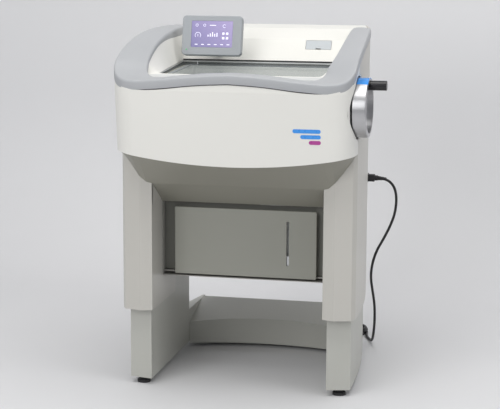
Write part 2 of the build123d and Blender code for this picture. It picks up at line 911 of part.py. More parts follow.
with BuildPart() as insulation:
    with BuildSketch(level(foam_floor_z, y=tub_middle_y)):
        RectangleRounded(2 * (tub_out + foam), tub_length + 2 * (tub_wall + foam), tub_corner + foam)
    extrude(amount=window_z - foam_floor_z + 60)
    with BuildSketch(level(tub_floor_z - tub_wall, y=tub_middle_y)):
        RectangleRounded(2 * tub_out, tub_length + 2 * tub_wall, tub_corner + tub_wall)
    extrude(amount=window_z - tub_floor_z + 80, mode=Mode.SUBTRACT)
    split(bisect_by=window_plane(sill_depth), keep=Keep.BOTTOM)
    add(recess.part, mode=Mode.SUBTRACT)
finish(insulation, "insulation")

with BuildPart() as chamber_gasket:
    with BuildSketch(window_plane(sill_depth)):
        with Locations((0, tub_middle_y - window_front_y)):
            RectangleRounded(2 * (tub_half + gasket_width), tub_length + 2 * gasket_width, tub_corner + gasket_width)
            RectangleRounded(2 * tub_half, tub_length, tub_corner, mode=Mode.SUBTRACT)
    extrude(amount=gasket_height)
finish(chamber_gasket, "chamber_gasket")

with BuildPart() as cold_shelf:
    with BuildSketch(facing_right(-tub_half, y=tub_middle_y, z=shelf_z)):
        RectangleRounded(shelf_length, shelf_height, 4)
    extrude(amount=shelf_width)
    with BuildSketch(level(shelf_z + shelf_height / 2 - shelf_hole_depth, x=-tub_half + shelf_width / 2,
                           y=tub_middle_y)):
        with GridLocations(shelf_width / 2, shelf_length / 7, 2, 6):
            Circle(shelf_hole_radius)
    extrude(amount=2 * shelf_hole_depth, mode=Mode.SUBTRACT)
finish(cold_shelf, "cold_shelf")

# ---------------------------------------------------------------- microtome
with BuildPart() as microtome_housing:
    with BuildSketch(level(housing_bottom, y=(foam_rear_y + housing_rear_y) / 2)):
        Rectangle(2 * housing_half, housing_rear_y - foam_rear_y)
    extrude(amount=housing_top - housing_bottom)
    with BuildSketch(level(housing_bottom + housing_wall, y=(foam_rear_y + housing_rear_y) / 2 - housing_wall)):
        Rectangle(2 * (housing_half - housing_wall), housing_rear_y - foam_rear_y)
    extrude(amount=housing_top - housing_bottom - 2 * housing_wall, mode=Mode.SUBTRACT)
finish(microtome_housing, "microtome_housing")

with BuildPart() as guide_rods:
    with BuildSketch(level(housing_bottom + housing_wall, y=guide_rod_y)):
        with GridLocations(2 * guide_rod_x, 0, 2, 1):
            Circle(guide_rod_radius)
    extrude(amount=housing_top - housing_bottom - 2 * housing_wall)
finish(guide_rods, "guide_rods")

with BuildPart() as specimen_slide:
    with BuildSketch(level(head_z - slide_height / 2, y=guide_rod_y)):
        RectangleRounded(2 * slide_half, slide_depth, 6)
        with GridLocations(2 * guide_rod_x, 0, 2, 1):
            Circle(guide_rod_radius + running_fit, mode=Mode.SUBTRACT)
    extrude(amount=slide_height)
    with BuildSketch(facing_front(guide_rod_y + slide_depth, z=head_z)):
        Circle(feed_radius + running_fit)
    extrude(amount=2 * slide_depth, mode=Mode.SUBTRACT)
finish(specimen_slide, "specimen_slide")

feed_rear_y = guide_rod_y + slide_depth / 2
ear_root_y = tilt_y + ear_radius + 3
with BuildPart() as specimen_arm:
    with BuildSketch(facing_front(feed_rear_y, z=head_z)):
        Circle(feed_radius)
    extrude(amount=feed_rear_y - ear_root_y)
    for side in (1, -1):
        with BuildSketch(facing_right(side * (ear_x + ear_thickness / 2) - ear_thickness / 2)):
            with Locations(((tilt_y + ear_root_y) / 2, head_z)):
                Rectangle(ear_root_y - tilt_y, 2 * ear_radius)
            with Locations((tilt_y, head_z)):
                Circle(ear_radius)
                Circle(pin_radius + running_fit, mode=Mode.SUBTRACT)
        extrude(amount=ear_thickness)
finish(specimen_arm, "specimen_arm")

head_front_y = tilt_y - ear_radius - 3 - head_plate
with BuildPart() as specimen_head:
    with BuildSketch(facing_right(-ear_x + ear_play, z=head_z)):
        with Locations((tilt_y, 0)):
            Circle(ear_radius - 1)
        with Locations((tilt_y - ear_radius + 2, 0)):
            Rectangle(14, 12)
    extrude(amount=2 * (ear_x - ear_play))
    with BuildSketch(facing_right(-ear_x - ear_thickness, y=tilt_y, z=head_z)):
        Circle(pin_radius)
    extrude(amount=2 * (ear_x + ear_thickness))
    with BuildSketch(facing_front(head_front_y + head_plate, z=head_z)):
        Circle(specimen_radius)
    extrude(amount=head_plate)
    chamfer(specimen_head.faces().sort_by(Axis.Y)[0].edges(), length=1)
    with BuildSketch(facing_front(head_front_y, z=head_z)):
        Circle(chuck_radius)
    extrude(amount=chuck_depth)
finish(specimen_head, "specimen_head")

with BuildPart() as knife_bed:
    with BuildSketch(level(tub_floor_z, y=bed_middle_y)):
        RectangleRounded(2 * bed_half, bed_length, 8)
    extrude(amount=bed_height)
    with BuildSketch(level(tub_floor_z + bed_height, y=bed_middle_y)):
        Rectangle(2 * key_half, bed_length - 2 * bed_margin)
    extrude(amount=key_height)
finish(knife_bed, "knife_bed")

knife_base_z = tub_floor_z + bed_height + running_gap
knife_foot_z = knife_base_z + knife_base_height
lever_z = knife_base_z + knife_base_height / 2 + 2
with BuildPart() as knife_base:
    with BuildSketch(level(knife_base_z, y=knife_y)):
        RectangleRounded(2 * knife_base_half, knife_base_depth, 8)
    extrude(amount=knife_base_height)
    chamfer(knife_base.faces().sort_by(Axis.Z)[-1].edges(), length=2)
    with BuildSketch(facing_front(knife_y + knife_base_depth, z=knife_base_z)):
        Rectangle(2 * (key_half + running_gap), 2 * (key_height + running_gap))
    extrude(amount=2 * knife_base_depth, mode=Mode.SUBTRACT)
    with BuildSketch(facing_right(knife_base_half - lever_bore_depth, y=knife_y - 9, z=lever_z)):
        Circle(pin_radius + running_fit)
    extrude(amount=2 * lever_bore_depth, mode=Mode.SUBTRACT)
finish(knife_base, "knife_base")

# the holder carries the blade at its rear edge, towards the specimen
knife_rear_y = knife_y + knife_base_depth / 2 - 6
knife_front_y = knife_y - knife_base_depth / 2 + 14
knife_top_z = knife_foot_z + knife_block_height
knife_lean = knife_block_height * math.tan(math.radians(knife_tilt))
hinge_y = knife_front_y - 7
hinge_z = knife_foot_z + 18
with BuildPart() as knife_holder:
    with BuildSketch(facing_right(-knife_half)):
        with BuildLine():
            Polyline((knife_front_y, knife_foot_z), (knife_rear_y, knife_foot_z),
                     (knife_rear_y - knife_lean, knife_top_z), (knife_rear_y - knife_lean - blade_seat, knife_top_z),
                     (knife_front_y, knife_foot_z + 20), close=True)
        make_face()
    extrude(amount=2 * knife_half)
    for side in (1, -1):
        with BuildSketch(facing_right(side * (plate_half + 3.5) - 3)):
            with Locations((hinge_y, hinge_z)):
                Circle(hinge_radius + 5)
            with Locations((hinge_y + 5, hinge_z - 2)):
                Rectangle(10, 2 * hinge_radius + 8)
            with Locations((hinge_y, hinge_z)):
                Circle(hinge_radius + running_fit, mode=Mode.SUBTRACT)
        extrude(amount=6)
finish(knife_holder, "knife_holder")

with BuildPart() as knife_blade:
    with BuildSketch(facing_right(-blade_half)):
        with BuildLine():
            Polyline((knife_rear_y - knife_lean - blade_seat + 2, knife_top_z), (knife_rear_y - knife_lean, knife_top_z),
                     (knife_rear_y - knife_lean + 1, knife_top_z + blade_height), close=True)
        make_face()
    extrude(amount=2 * blade_half)
finish(knife_blade, "knife_blade")

# the anti-roll plate hangs on its pin in front of the holder and swings forward
plate_length = knife_top_z - hinge_z + 2
face_lean = math.degrees(math.atan2(knife_rear_y - knife_lean - blade_seat - knife_front_y,
                                    knife_top_z - knife_foot_z - 20))
with BuildPart() as anti_roll_plate:
    with BuildSketch(facing_right(-plate_half)):
        with Locations((hinge_y, hinge_z)):
            Circle(hinge_radius + 1.5)
        with Locations(Location((hinge_y, hinge_z), -face_lean)):
            with Locations((0, plate_length / 2)):
                Rectangle(2.5, plate_length)
    extrude(amount=2 * plate_half)
    with BuildSketch(facing_right(-plate_half - 6.5, y=hinge_y, z=hinge_z)):
        Circle(hinge_radius)
    extrude(amount=2 * (plate_half + 6.5))
finish(anti_roll_plate, "anti_roll_plate")

with BuildPart() as knife_lever:
    with BuildSketch(facing_right(knife_base_half + running_gap, y=knife_y - 9, z=lever_z)):
        Circle(7)
        with Locations((-lever_length / 2, 0)):
            SlotOverall(lever_length + 8, 8)
    extrude(amount=5.5)
    with BuildSketch(facing_right(knife_base_half + running_gap, y=knife_y - 9, z=lever_z)):
        Circle(pin_radius)
    extrude(amount=-(lever_bore_depth - 1))
    with BuildSketch(facing_right(knife_base_half + running_gap + 5.5, y=knife_y - 9 - lever_length, z=lever_z)):
        Circle(5)
    extrude(amount=12)
finish(knife_lever, "knife_lever")

# ---------------------------------------------------------------- handwheel and its drive
dish_floor_x = half_width - dish_depth


def along_wheel(x):
    """A plane across the handwheel's shaft."""
    return facing_right(x, y=wheel_y, z=wheel_z)


with BuildPart() as wheel_dish:
    with BuildSketch(along_wheel(dish_floor_x - skin)):
        Circle(dish_radius - seam)
    extrude(amount=skin)
    with BuildSketch(along_wheel(dish_floor_x - skin)):
        Circle(dish_radius - seam)
        Circle(dish_radius - seam - skin, mode=Mode.SUBTRACT)
    extrude(amount=dish_depth + skin - 0.5)
    with BuildSketch(along_wheel(dish_floor_x)):
        Circle(lock_bore - shaft_play)
    extrude(amount=lock_thickness - 1)
    with BuildSketch(along_wheel(dish_floor_x - skin)):
        Circle(bearing_radius)
    extrude(amount=-bearing_length)
    with BuildSketch(along_wheel(pulley_x)):
        Circle(shaft_radius + shaft_play)
    extrude(amount=100, mode=Mode.SUBTRACT)
    # its front follows the hood's rounded corner
    with BuildPart(mode=Mode.INTERSECT):
        add(hood_outside)
        with BuildSketch(level(hood_bottom)):
            with Locations((half_width / 2, nose_side_y + 100 - seam)):
                Rectangle(half_width - 2 * seam, 200)
        extrude(amount=300)
finish(wheel_dish, "wheel_dish")

with BuildPart() as handwheel:
    with BuildSketch(along_wheel(wheel_inner_x)):
        Circle(wheel_radius)
        Circle(wheel_radius - wheel_rim, mode=Mode.SUBTRACT)
    extrude(amount=wheel_width)
    with BuildSketch(along_wheel(wheel_inner_x + 6)):
        Circle(wheel_radius - wheel_rim)
    extrude(amount=wheel_web)
    with BuildSketch(along_wheel(dish_floor_x + lock_thickness)):
        Circle(hub_radius)
    extrude(amount=wheel_inner_x + 22 - dish_floor_x - lock_thickness)
    with BuildSketch(along_wheel(dish_floor_x)):
        Circle(shaft_radius)
    extrude(amount=hub_depth, mode=Mode.SUBTRACT)
    with BuildSketch(along_wheel(wheel_inner_x + 6)):
        with Locations((0, grip_orbit)):
            Circle(grip_radius + 1)
    extrude(amount=grip_start_x - wheel_inner_x - 6.5)
    with BuildSketch(along_wheel(grip_start_x - 0.5)):
        with Locations((0, grip_orbit)):
            Circle(grip_radius + 1)
    extrude(amount=grip_radius, mode=Mode.SUBTRACT)
    with BuildSketch(along_wheel(grip_start_x - 1)):
        with Locations((0, grip_orbit)):
            Circle(grip_pin)
    extrude(amount=grip_end_x - grip_start_x - 1)
    fillet(handwheel.edges().filter_by(GeomType.CIRCLE)
           .filter_by(lambda e: abs(e.radius - wheel_radius) < 0.01).sort_by(Axis.X)[-1], radius=3)
    with BuildSketch(along_wheel(wheel_inner_x + 6)):
        Circle(wheel_radius + 1)
        Circle(wheel_radius - insert_thickness, mode=Mode.SUBTRACT)
        with BuildLine():
            Polyline((0, 0), (wheel_radius * 2 * math.sin(math.radians(insert_angle)), 2 * wheel_radius
                              * math.cos(math.radians(insert_angle))),
                     (-wheel_radius * 2 * math.sin(math.radians(insert_angle)), 2 * wheel_radius
                      * math.cos(math.radians(insert_angle))), close=True)
        make_face(mode=Mode.INTERSECT)
    extrude(amount=wheel_width, mode=Mode.SUBTRACT)
finish(handwheel, "handwheel")

with BuildPart() as wheel_insert:
    with BuildSketch(along_wheel(wheel_inner_x + 6)):
        Circle(wheel_radius)
        Circle(wheel_radius - insert_thickness, mode=Mode.SUBTRACT)
        with BuildLine():
            Polyline((0, 0), (wheel_radius * 2 * math.sin(math.radians(insert_angle)), 2 * wheel_radius
                              * math.cos(math.radians(insert_angle))),
                     (-wheel_radius * 2 * math.sin(math.radians(insert_angle)), 2 * wheel_radius
                      * math.cos(math.radians(insert_angle))), close=True)
        make_face(mode=Mode.INTERSECT)
    extrude(amount=wheel_width - 6)
finish(wheel_insert, "wheel_insert")

with BuildPart() as wheel_grip:
    with BuildSketch(along_wheel(grip_start_x)):
        with Locations((0, grip_orbit)):
            Circle(grip_radius)
    extrude(amount=grip_end_x - grip_start_x)
    fillet(wheel_grip.faces().sort_by(Axis.X)[-1].edges(), radius=2)
    with BuildSketch(along_wheel(grip_start_x)):
        with Locations((0, grip_orbit)):
            Circle(grip_pin + shaft_play)
    extrude(amount=grip_end_x - grip_start_x - 1.5, mode=Mode.SUBTRACT)
finish(wheel_grip, "wheel_grip")

with BuildPart() as wheel_lock:
    with BuildSketch(along_wheel(dish_floor_x + running_gap)):
        Circle(lock_radius)
        Circle(lock_bore, mode=Mode.SUBTRACT)
    extrude(amount=lock_thickness - running_gap)
    with BuildSketch(along_wheel(dish_floor_x + running_gap)):
        with Locations(Location((0, 0), lock_tab_turn)):
            with Locations((0, lock_radius)):
                Rectangle(16, 4)
    extrude(amount=lock_tab)
finish(wheel_lock, "wheel_lock")

with BuildPart() as drive_shaft:
    with BuildSketch(along_wheel(pulley_x - pulley_width / 2)):
        Circle(shaft_radius)
    extrude(amount=dish_floor_x + hub_depth - pulley_x + pulley_width / 2)
    with BuildSketch(along_wheel(pulley_x - pulley_width / 2)):
        Circle(pulley_radius)
    extrude(amount=pulley_width)
finish(drive_shaft, "drive_shaft")

with BuildPart() as crank_shaft:
    with BuildSketch(facing_right(pulley_x - pulley_width / 2, y=crank_y, z=crank_z)):
        Circle(pulley_radius)
    extrude(amount=pulley_width)
    with BuildSketch(facing_right(crank_x, y=crank_y, z=crank_z)):
        Circle(crank_shaft_radius)
    extrude(amount=pulley_x - crank_x)
    with BuildSketch(facing_right(crank_x, y=crank_y, z=crank_z)):
        Circle(crank_radius)
    extrude(amount=crank_plate)
    with BuildSketch(facing_right(crank_x, y=crank_y, z=crank_z)):
        with Locations((0, crank_throw)):
            Circle(crank_pin)
    extrude(amount=-(crank_x - housing_half - 2))
finish(crank_shaft, "crank_shaft")

with BuildPart() as crank_bearing:
    with BuildSketch(facing_right(bearing_x, y=crank_y)):
        with Locations((0, crank_z)):
            Circle(bearing_block / 2)
        with Locations((0, (crank_z + crank_z - bearing_drop) / 2)):
            Rectangle(bearing_block, bearing_drop)
        with Locations((0, crank_z)):
            Circle(crank_shaft_radius + running_fit, mode=Mode.SUBTRACT)
    extrude(amount=bearing_width)
    with BuildSketch(level(crank_z - bearing_drop, x=(housing_half + bearing_x + bearing_width) / 2, y=crank_y)):
        Rectangle(bearing_x + bearing_width - housing_half, bearing_block)
    extrude(amount=bearing_foot)
finish(crank_bearing, "crank_bearing")

belt_inner = pulley_radius + belt_play
belt_run = math.hypot(crank_y - wheel_y, crank_z - wheel_z)
belt_angle = math.degrees(math.atan2(crank_z - wheel_z, crank_y - wheel_y))
with BuildPart() as drive_belt:
    with BuildSketch(facing_right(pulley_x - pulley_width / 2 + 2, y=(wheel_y + crank_y) / 2,
                                  z=(wheel_z + crank_z) / 2)):
        with Locations(Location((0, 0), belt_angle)):
            SlotCenterToCenter(belt_run, 2 * (belt_inner + belt_thickness))
            SlotCenterToCenter(belt_run, 2 * belt_inner, mode=Mode.SUBTRACT)
    extrude(amount=pulley_width - 4)
finish(drive_belt, "drive_belt")

# ---------------------------------------------------------------- screen
screen_frame = Plane(origin=(screen_x - mid_x, screen_y - mid_y, screen_z), x_dir=(1, 0, 0),
                     z_dir=(0, -math.cos(math.radians(screen_lean)), math.sin(math.radians(screen_lean))))

with BuildPart() as screen_housing:
    with BuildSketch(screen_frame):
        RectangleRounded(screen_width, screen_height, screen_corner)
    extrude(amount=-screen_depth)
    fillet(screen_housing.faces().sort_by(Axis((0, 0, 0), screen_frame.z_dir))[-1].edges(), radius=screen_round)
    with BuildSketch(screen_frame):
        with Locations((0, display_up)):
            RectangleRounded(display_width, display_height, 3)
    extrude(amount=-display_recess, mode=Mode.SUBTRACT)
    for side in (1, -1):
        with BuildSketch(facing_right(screen_x + side * (barrel_half + 3 + running_gap) - 3, y=pivot_y, z=pivot_z)):
            Circle(barrel_radius)
            with BuildLine():
                Polyline((0, -barrel_radius), (0, barrel_radius), (-pivot_reach, barrel_radius + 4),
                         (-pivot_reach, -barrel_radius - 4), close=True)
            make_face()
        extrude(amount=6)
    with BuildSketch(facing_right(screen_x - barrel_half - 1, y=pivot_y, z=pivot_z)):
        Circle(pin_radius)
    extrude(amount=2 * barrel_half + 2)
finish(screen_housing, "screen_housing")

with BuildPart() as screen_panel:
    with BuildSketch(screen_frame.offset(-display_recess)):
        with Locations((0, display_up)):
            RectangleRounded(display_width - 1, display_height - 1, 2.5)
    extrude(amount=display_recess - 0.6)
finish(screen_panel, "screen_panel")

arm_foot_z = (slope_foot_z + crease_z) / 2
with BuildPart() as screen_arm:
    with BuildSketch(facing_right(screen_x - barrel_half)):
        with Locations((pivot_y, pivot_z)):
            Circle(barrel_radius)
        with BuildLine():
            Polyline((pivot_y - 3, pivot_z - barrel_radius + 1), (pivot_y + 3, pivot_z + barrel_radius - 1),
                     (slope_y(arm_foot_z + 14) + 6, arm_foot_z + 14), (slope_y(arm_foot_z - 14) + 6, arm_foot_z - 14),
                     close=True)
        make_face()
        with Locations((pivot_y, pivot_z)):
            Circle(pin_radius + running_fit, mode=Mode.SUBTRACT)
    extrude(amount=2 * barrel_half)
    split(bisect_by=slope_plane(screen_x, arm_foot_z), keep=Keep.TOP)
finish(screen_arm, "screen_arm")

# ---------------------------------------------------------------- bay and drawer
bay_half_width = nose_inner_x - seam
bay_wall_front = belly_rear + seam
bay_roof = belly_end_z + skin
with BuildPart() as bay_housing:
    with BuildSketch(facing_front(rear_depth - skin - seam)):
        with Locations((0, (bay_floor + bay_roof) / 2)):
            Rectangle(2 * bay_half_width, bay_roof - bay_floor)
            Rectangle(2 * (bay_half_width - bay_sheet), bay_roof - bay_floor - 2 * bay_sheet, mode=Mode.SUBTRACT)
    extrude(amount=rear_depth - skin - seam - bay_wall_front)
    for side in (1, -1):
        with BuildSketch(level(tray_floor_z - running_gap - runner_height,
                               x=side * (bay_half_width - bay_sheet + tray_half - runner_grip) / 2,
                               y=drawer_front_y + (runner_length + 28) / 2)):
            Rectangle(bay_half_width - bay_sheet - tray_half + runner_grip, runner_length)
        extrude(amount=runner_height)
finish(bay_housing, "bay_housing")

with BuildPart() as drawer_front:
    with BuildSketch(facing_front(drawer_front_y + drawer_panel)):
        with Locations((0, (drawer_bottom + drawer_top) / 2)):
            RectangleRounded(2 * drawer_half, drawer_top - drawer_bottom, 5)
        with Locations(Location((slot_x, slot_middle_z), 90)):
            SlotOverall(slot_length, slot_width, mode=Mode.SUBTRACT)
    extrude(amount=drawer_panel)
    fillet(drawer_front.faces().sort_by(Axis.Y)[0].outer_wire().edges(), radius=2)
finish(drawer_front, "drawer_front")

with BuildPart() as drawer_tray:
    with BuildSketch(level(tray_floor_z, y=drawer_front_y + drawer_panel + tray_depth / 2)):
        Rectangle(2 * tray_half, tray_depth)
    extrude(amount=tray_height)
    with BuildSketch(level(tray_floor_z + tray_sheet, y=drawer_front_y + drawer_panel + tray_depth / 2)):
        Rectangle(2 * (tray_half - tray_sheet), tray_depth - 2 * tray_sheet)
    extrude(amount=tray_height, mode=Mode.SUBTRACT)
finish(drawer_tray, "drawer_tray")

bottle_floor_z = tray_floor_z + tray_sheet
with BuildPart() as drain_bottle:
    with BuildSketch(level(bottle_floor_z, x=slot_x, y=bottle_y)):
        RectangleRounded(bottle_side, bottle_side, 14)
    extrude(amount=bottle_height)
    with BuildSketch(level(bottle_floor_z + bottle_height, x=slot_x, y=bottle_y)):
        Circle(bottle_neck)
    extrude(amount=bottle_cap)
finish(drain_bottle, "drain_bottle")

# ---------------------------------------------------------------- cooling unit
bay_inside_z = bay_floor + bay_sheet
with BuildPart() as compressor:
    with BuildSketch(level(bay_inside_z, x=compressor_x, y=compressor_y)):
        Rectangle(1.9 * compressor_radius, 1.2 * compressor_radius)
    extrude(amount=8)
    with BuildSketch(level(bay_inside_z + 8, x=compressor_x, y=compressor_y)):
        Circle(compressor_radius * 0.94)
    extrude(amount=compressor_height)
    fillet(compressor.faces().sort_by(Axis.Z)[-1].edges(), radius=28)
finish(compressor, "compressor")

with BuildPart() as condenser:
    with BuildSketch(level(bay_inside_z, x=fan_x, y=condenser_y)):
        with Locations((0, condenser_depth / 2)):
            Rectangle(condenser_width, condenser_depth)
        with Locations((0, condenser_depth / 2)):
            with GridLocations(condenser_width / (fin_count + 1), 0, fin_count, 1):
                Rectangle(condenser_width / (fin_count + 1) * 0.6, condenser_depth + 2, mode=Mode.SUBTRACT)
    extrude(amount=condenser_height)
    for z in (bay_inside_z, bay_inside_z + condenser_height / 2, bay_inside_z + condenser_height - 6):
        with BuildSketch(level(z, x=fan_x, y=condenser_y + condenser_depth / 2)):
            Rectangle(condenser_width, condenser_depth)
        extrude(amount=6)
    # its fan shroud and the motor on a cross
    with BuildSketch(facing_front(condenser_y, x=fan_x, z=fan_z)):
        Rectangle(condenser_width, 2 * (fan_z - bay_inside_z))
        Circle(fan_radius + 5, mode=Mode.SUBTRACT)
    extrude(amount=3)
    with BuildSketch(facing_front(condenser_y - 3, x=fan_x, z=fan_z)):
        Circle(fan_radius + 9)
        Circle(fan_radius + 5, mode=Mode.SUBTRACT)
    extrude(amount=26)
    with BuildSketch(facing_front(condenser_y - 29, x=fan_x, z=fan_z)):
        Circle(fan_radius + 9)
        Circle(fan_radius + 5, mode=Mode.SUBTRACT)
        Circle(motor_radius)
        for turn in (0, 90):
            with Locations(Location((0, 0), turn)):
                Rectangle(2 * fan_radius + 12, 8)
    extrude(amount=6)
    with BuildSketch(facing_front(condenser_y - 35, x=fan_x, z=fan_z)):
        Circle(motor_radius)
    extrude(amount=26)
    with BuildSketch(facing_front(condenser_y - 4, x=fan_x, z=fan_z)):
        Circle(pin_radius)
    extrude(amount=30)
finish(condenser, "condenser")

with BuildPart() as fan:
    with BuildSketch(facing_front(condenser_y - 6, x=fan_x, z=fan_z)):
        Circle(18)
    extrude(amount=18)
    with BuildSketch(facing_front(condenser_y - 10, x=fan_x, z=fan_z)):
        with PolarLocations(0, fan_blades):
            with Locations((fan_radius / 2, 0)):
                Rectangle(fan_radius, 20)
        Circle(fan_radius, mode=Mode.INTERSECT)
    extrude(amount=4)
    with BuildSketch(facing_front(condenser_y, x=fan_x, z=fan_z)):
        Circle(pin_radius + running_fit)
    extrude(amount=40, mode=Mode.SUBTRACT)
finish(fan, "fan")

with BuildPart() as power_switch:
    with BuildSketch(facing_front(rear_depth - skin, x=switch_x, z=switch_z)):
        Rectangle(switch_width - 1.2, switch_height - 1.2)
    extrude(amount=-(skin + 2))
    with BuildSketch(facing_front(rear_depth - skin, x=switch_x, z=switch_z)):
        Rectangle(switch_width - 1.2, 8)
    extrude(amount=8)
finish(power_switch, "power_switch")

# ---------------------------------------------------------------- mains inlet
cord_points = [(347, 500, 586), (371, 500, 584.3), (391.3, 500.5, 571.6), (404.3, 502, 549), (408, 504, 513),
               (402.5, 507, 469), (386, 511, 425), (366, 515, 385), (344, 522, 345), (330, 531, 300),
               (325, 541, 255), (330, 552, 210), (336, 563, 165), (336, 577, 120), (332, 601, 76), (325, 630, 35),
               (316, 664, 11), (304, 702, 5.5), (288, 740, 5.5), (281.5, 781, 5.5)]
side_at_inlet = side_x(inlet_y)
connector_face_x = side_at_inlet + connector_seat
with BuildPart() as cord_connector:
    with BuildSketch(facing_right(side_at_inlet - skin - connector_seat, y=inlet_y, z=inlet_z)):
        RectangleRounded(inlet_width, inlet_height, inlet_corner)
    extrude(amount=skin + 2 * connector_seat)
    with BuildSketch(facing_right(connector_face_x, y=inlet_y, z=inlet_z)):
        RectangleRounded(connector_width, connector_height, 4)
    extrude(amount=connector_length * 0.6)
    with BuildSketch(facing_right(connector_face_x + connector_length * 0.6, y=inlet_y, z=inlet_z)):
        Circle(cord_diameter)
    extrude(amount=cord_points[0][0] - running_gap - connector_face_x - connector_length * 0.6)
finish(cord_connector, "cord_connector")

# ---------------------------------------------------------------- lift
with BuildPart() as lift_tubes:
    with BuildSketch(level(leg_bottom + leg_wall, y=lift_y)):
        with GridLocations(2 * lift_x, 0, 2, 1):
            Rectangle(lift_outer, lift_outer)
            Rectangle(lift_outer - 2 * lift_wall, lift_outer - 2 * lift_wall, mode=Mode.SUBTRACT)
    extrude(amount=lift_outer_top - leg_bottom - leg_wall)
finish(lift_tubes, "lift_tubes")

mast_side = lift_outer - 2 * lift_wall - 2 * lift_play
with BuildPart() as lift_masts:
    with BuildSketch(level(lift_inner_bottom, y=lift_y)):
        with GridLocations(2 * lift_x, 0, 2, 1):
            Rectangle(mast_side, mast_side)
            Rectangle(mast_side - 2 * lift_wall, mast_side - 2 * lift_wall, mode=Mode.SUBTRACT)
    extrude(amount=foam_floor_z - beam_height - lift_inner_bottom)
    with BuildSketch(level(foam_floor_z - beam_height, y=lift_y)):
        Rectangle(2 * lift_x + mast_side, beam_depth)
    extrude(amount=beam_height)
finish(lift_masts, "lift_masts")

# ---------------------------------------------------------------- base
with BuildPart() as leg_right:
    with BuildSketch(level(leg_bottom)):
        add(leg_plan(leg_foot_depth))
    extrude(amount=leg_step_z - leg_bottom)
    with BuildSketch(level(leg_bottom)):
        add(leg_plan(leg_column_depth))
    extrude(amount=leg_top - leg_bottom)
    with BuildSketch(level(leg_bottom + leg_wall)):
        add(leg_plan(leg_foot_depth, leg_wall))
    extrude(amount=leg_step_z - leg_bottom - 2 * leg_wall, mode=Mode.SUBTRACT)
    with BuildSketch(level(leg_bottom + leg_wall)):
        add(leg_plan(leg_column_depth - leg_wall, leg_wall))
    extrude(amount=leg_top, mode=Mode.SUBTRACT)
finish(leg_right, "leg_right")

with BuildPart() as leg_left:
    add(mirror(leg_right.part, about=middle))
finish(leg_left, "leg_left")

with BuildPart() as levelling_feet:
    with BuildSketch(level(0, y=foot_y)):
        with GridLocations(2 * foot_x, 0, 2, 1):
            Circle(foot_diameter / 2)
    extrude(amount=foot_pad)
    chamfer(levelling_feet.edges().filter_by(GeomType.CIRCLE).group_by(Axis.Z)[-1], length=2)
    with BuildSketch(level(foot_pad, y=foot_y)):
        with GridLocations(2 * foot_x, 0, 2, 1):
            Circle(foot_diameter / 4)
    extrude(amount=leg_bottom - foot_pad)
finish(levelling_feet, "levelling_feet")

stretcher_climb = (stretcher_rear_z - stretcher_front_z) / (stretcher_rear_y - stretcher_front_y + stretcher_bow)


def stretcher_top(y):
    """Height of the stretcher's top at a depth."""
    return stretcher_front_z + (y - stretcher_front_y + stretcher_bow) * stretcher_climb


def stretcher_block(inset, floor_z):
    """The stretcher's volume, or its hollow."""
    half = leg_inner_x - inset
    with BuildPart() as block:
        with BuildSketch(level(floor_z)):
            with BuildLine():
                ThreePointArc((-half, stretcher_front_y - stretcher_bow + inset), (0, stretcher_front_y + inset),
                              (half, stretcher_front_y - stretcher_bow + inset))
                Polyline((half, stretcher_front_y - stretcher_bow + inset), (half, stretcher_rear_y - inset),
                         (-half, stretcher_rear_y - inset), (-half, stretcher_front_y - stretcher_bow + inset))
            make_face()
        extrude(amount=stretcher_rear_z * 2)
        with BuildSketch(facing_right(-leg_inner_x)):
            with BuildLine():
                Polyline((400, stretcher_top(400) - inset), (750, stretcher_top(750) - inset), (750, -50), (400, -50),
                         close=True)
            make_face()
        extrude(amount=2 * leg_inner_x, mode=Mode.INTERSECT)
    return block.part


stretcher_outside = stretcher_block(0, stretcher_bottom)
stretcher_inside = stretcher_block(leg_wall, stretcher_bottom - 10)
cheek_x = castor_width / 2 + 1
with BuildPart() as base_stretcher:
    add(stretcher_outside)
    add(stretcher_inside, mode=Mode.SUBTRACT)
    for side in (1, -1):
        for cheek in (side * castor_x + cheek_x, side * castor_x - cheek_x - castor_cheek):
            with BuildSketch(facing_right(cheek, y=castor_y)):
                with Locations((0, castor_diameter / 2)):
                    Circle(castor_axle * 2)
                with Locations((0, (castor_diameter / 2 + stretcher_top(castor_y - 12) - leg_wall / 2) / 2)):
                    Rectangle(castor_axle * 4, stretcher_top(castor_y - 12) - leg_wall / 2 - castor_diameter / 2)
            extrude(amount=castor_cheek)
        with BuildSketch(facing_right(side * castor_x - cheek_x, y=castor_y, z=castor_diameter / 2)):
            Circle(castor_axle)
        extrude(amount=2 * cheek_x)
finish(base_stretcher, "base_stretcher")

for side, name in ((1, "right"), (-1, "left")):
    with BuildPart() as castor_wheel:
        with BuildSketch(facing_right(side * castor_x - castor_width / 2, y=castor_y, z=castor_diameter / 2)):
            Circle(castor_diameter / 2)
            Circle(castor_axle + running_fit, mode=Mode.SUBTRACT)
        extrude(amount=castor_width)
        fillet(castor_wheel.edges().filter_by(GeomType.CIRCLE)
               .filter_by(lambda e: abs(e.radius - castor_diameter / 2) < 0.01), radius=2)
    finish(castor_wheel, f"castor_wheel_{name}")

# ---------------------------------------------------------------- mains cord
placed = [Vector(x - mid_x, y - mid_y, z) for x, y, z in cord_points]
radii = []
for before, here, after in zip(placed, placed[1:], placed[2:]):
    turn = math.radians((here - before).get_angle(after - here))
    radii.append(0.45 * min((here - before).length, (after - here).length) / math.tan(turn / 2))
print("cord radii", [round(r) for r in radii])
with BuildPart() as power_cord:
    with BuildLine() as cord_path:
        FilletPolyline(*placed, radius=radii)
    with BuildSketch(Plane(origin=placed[0], z_dir=placed[1] - placed[0])):
        Circle(cord_diameter / 2)
    sweep()
finish(power_cord, "power_cord")

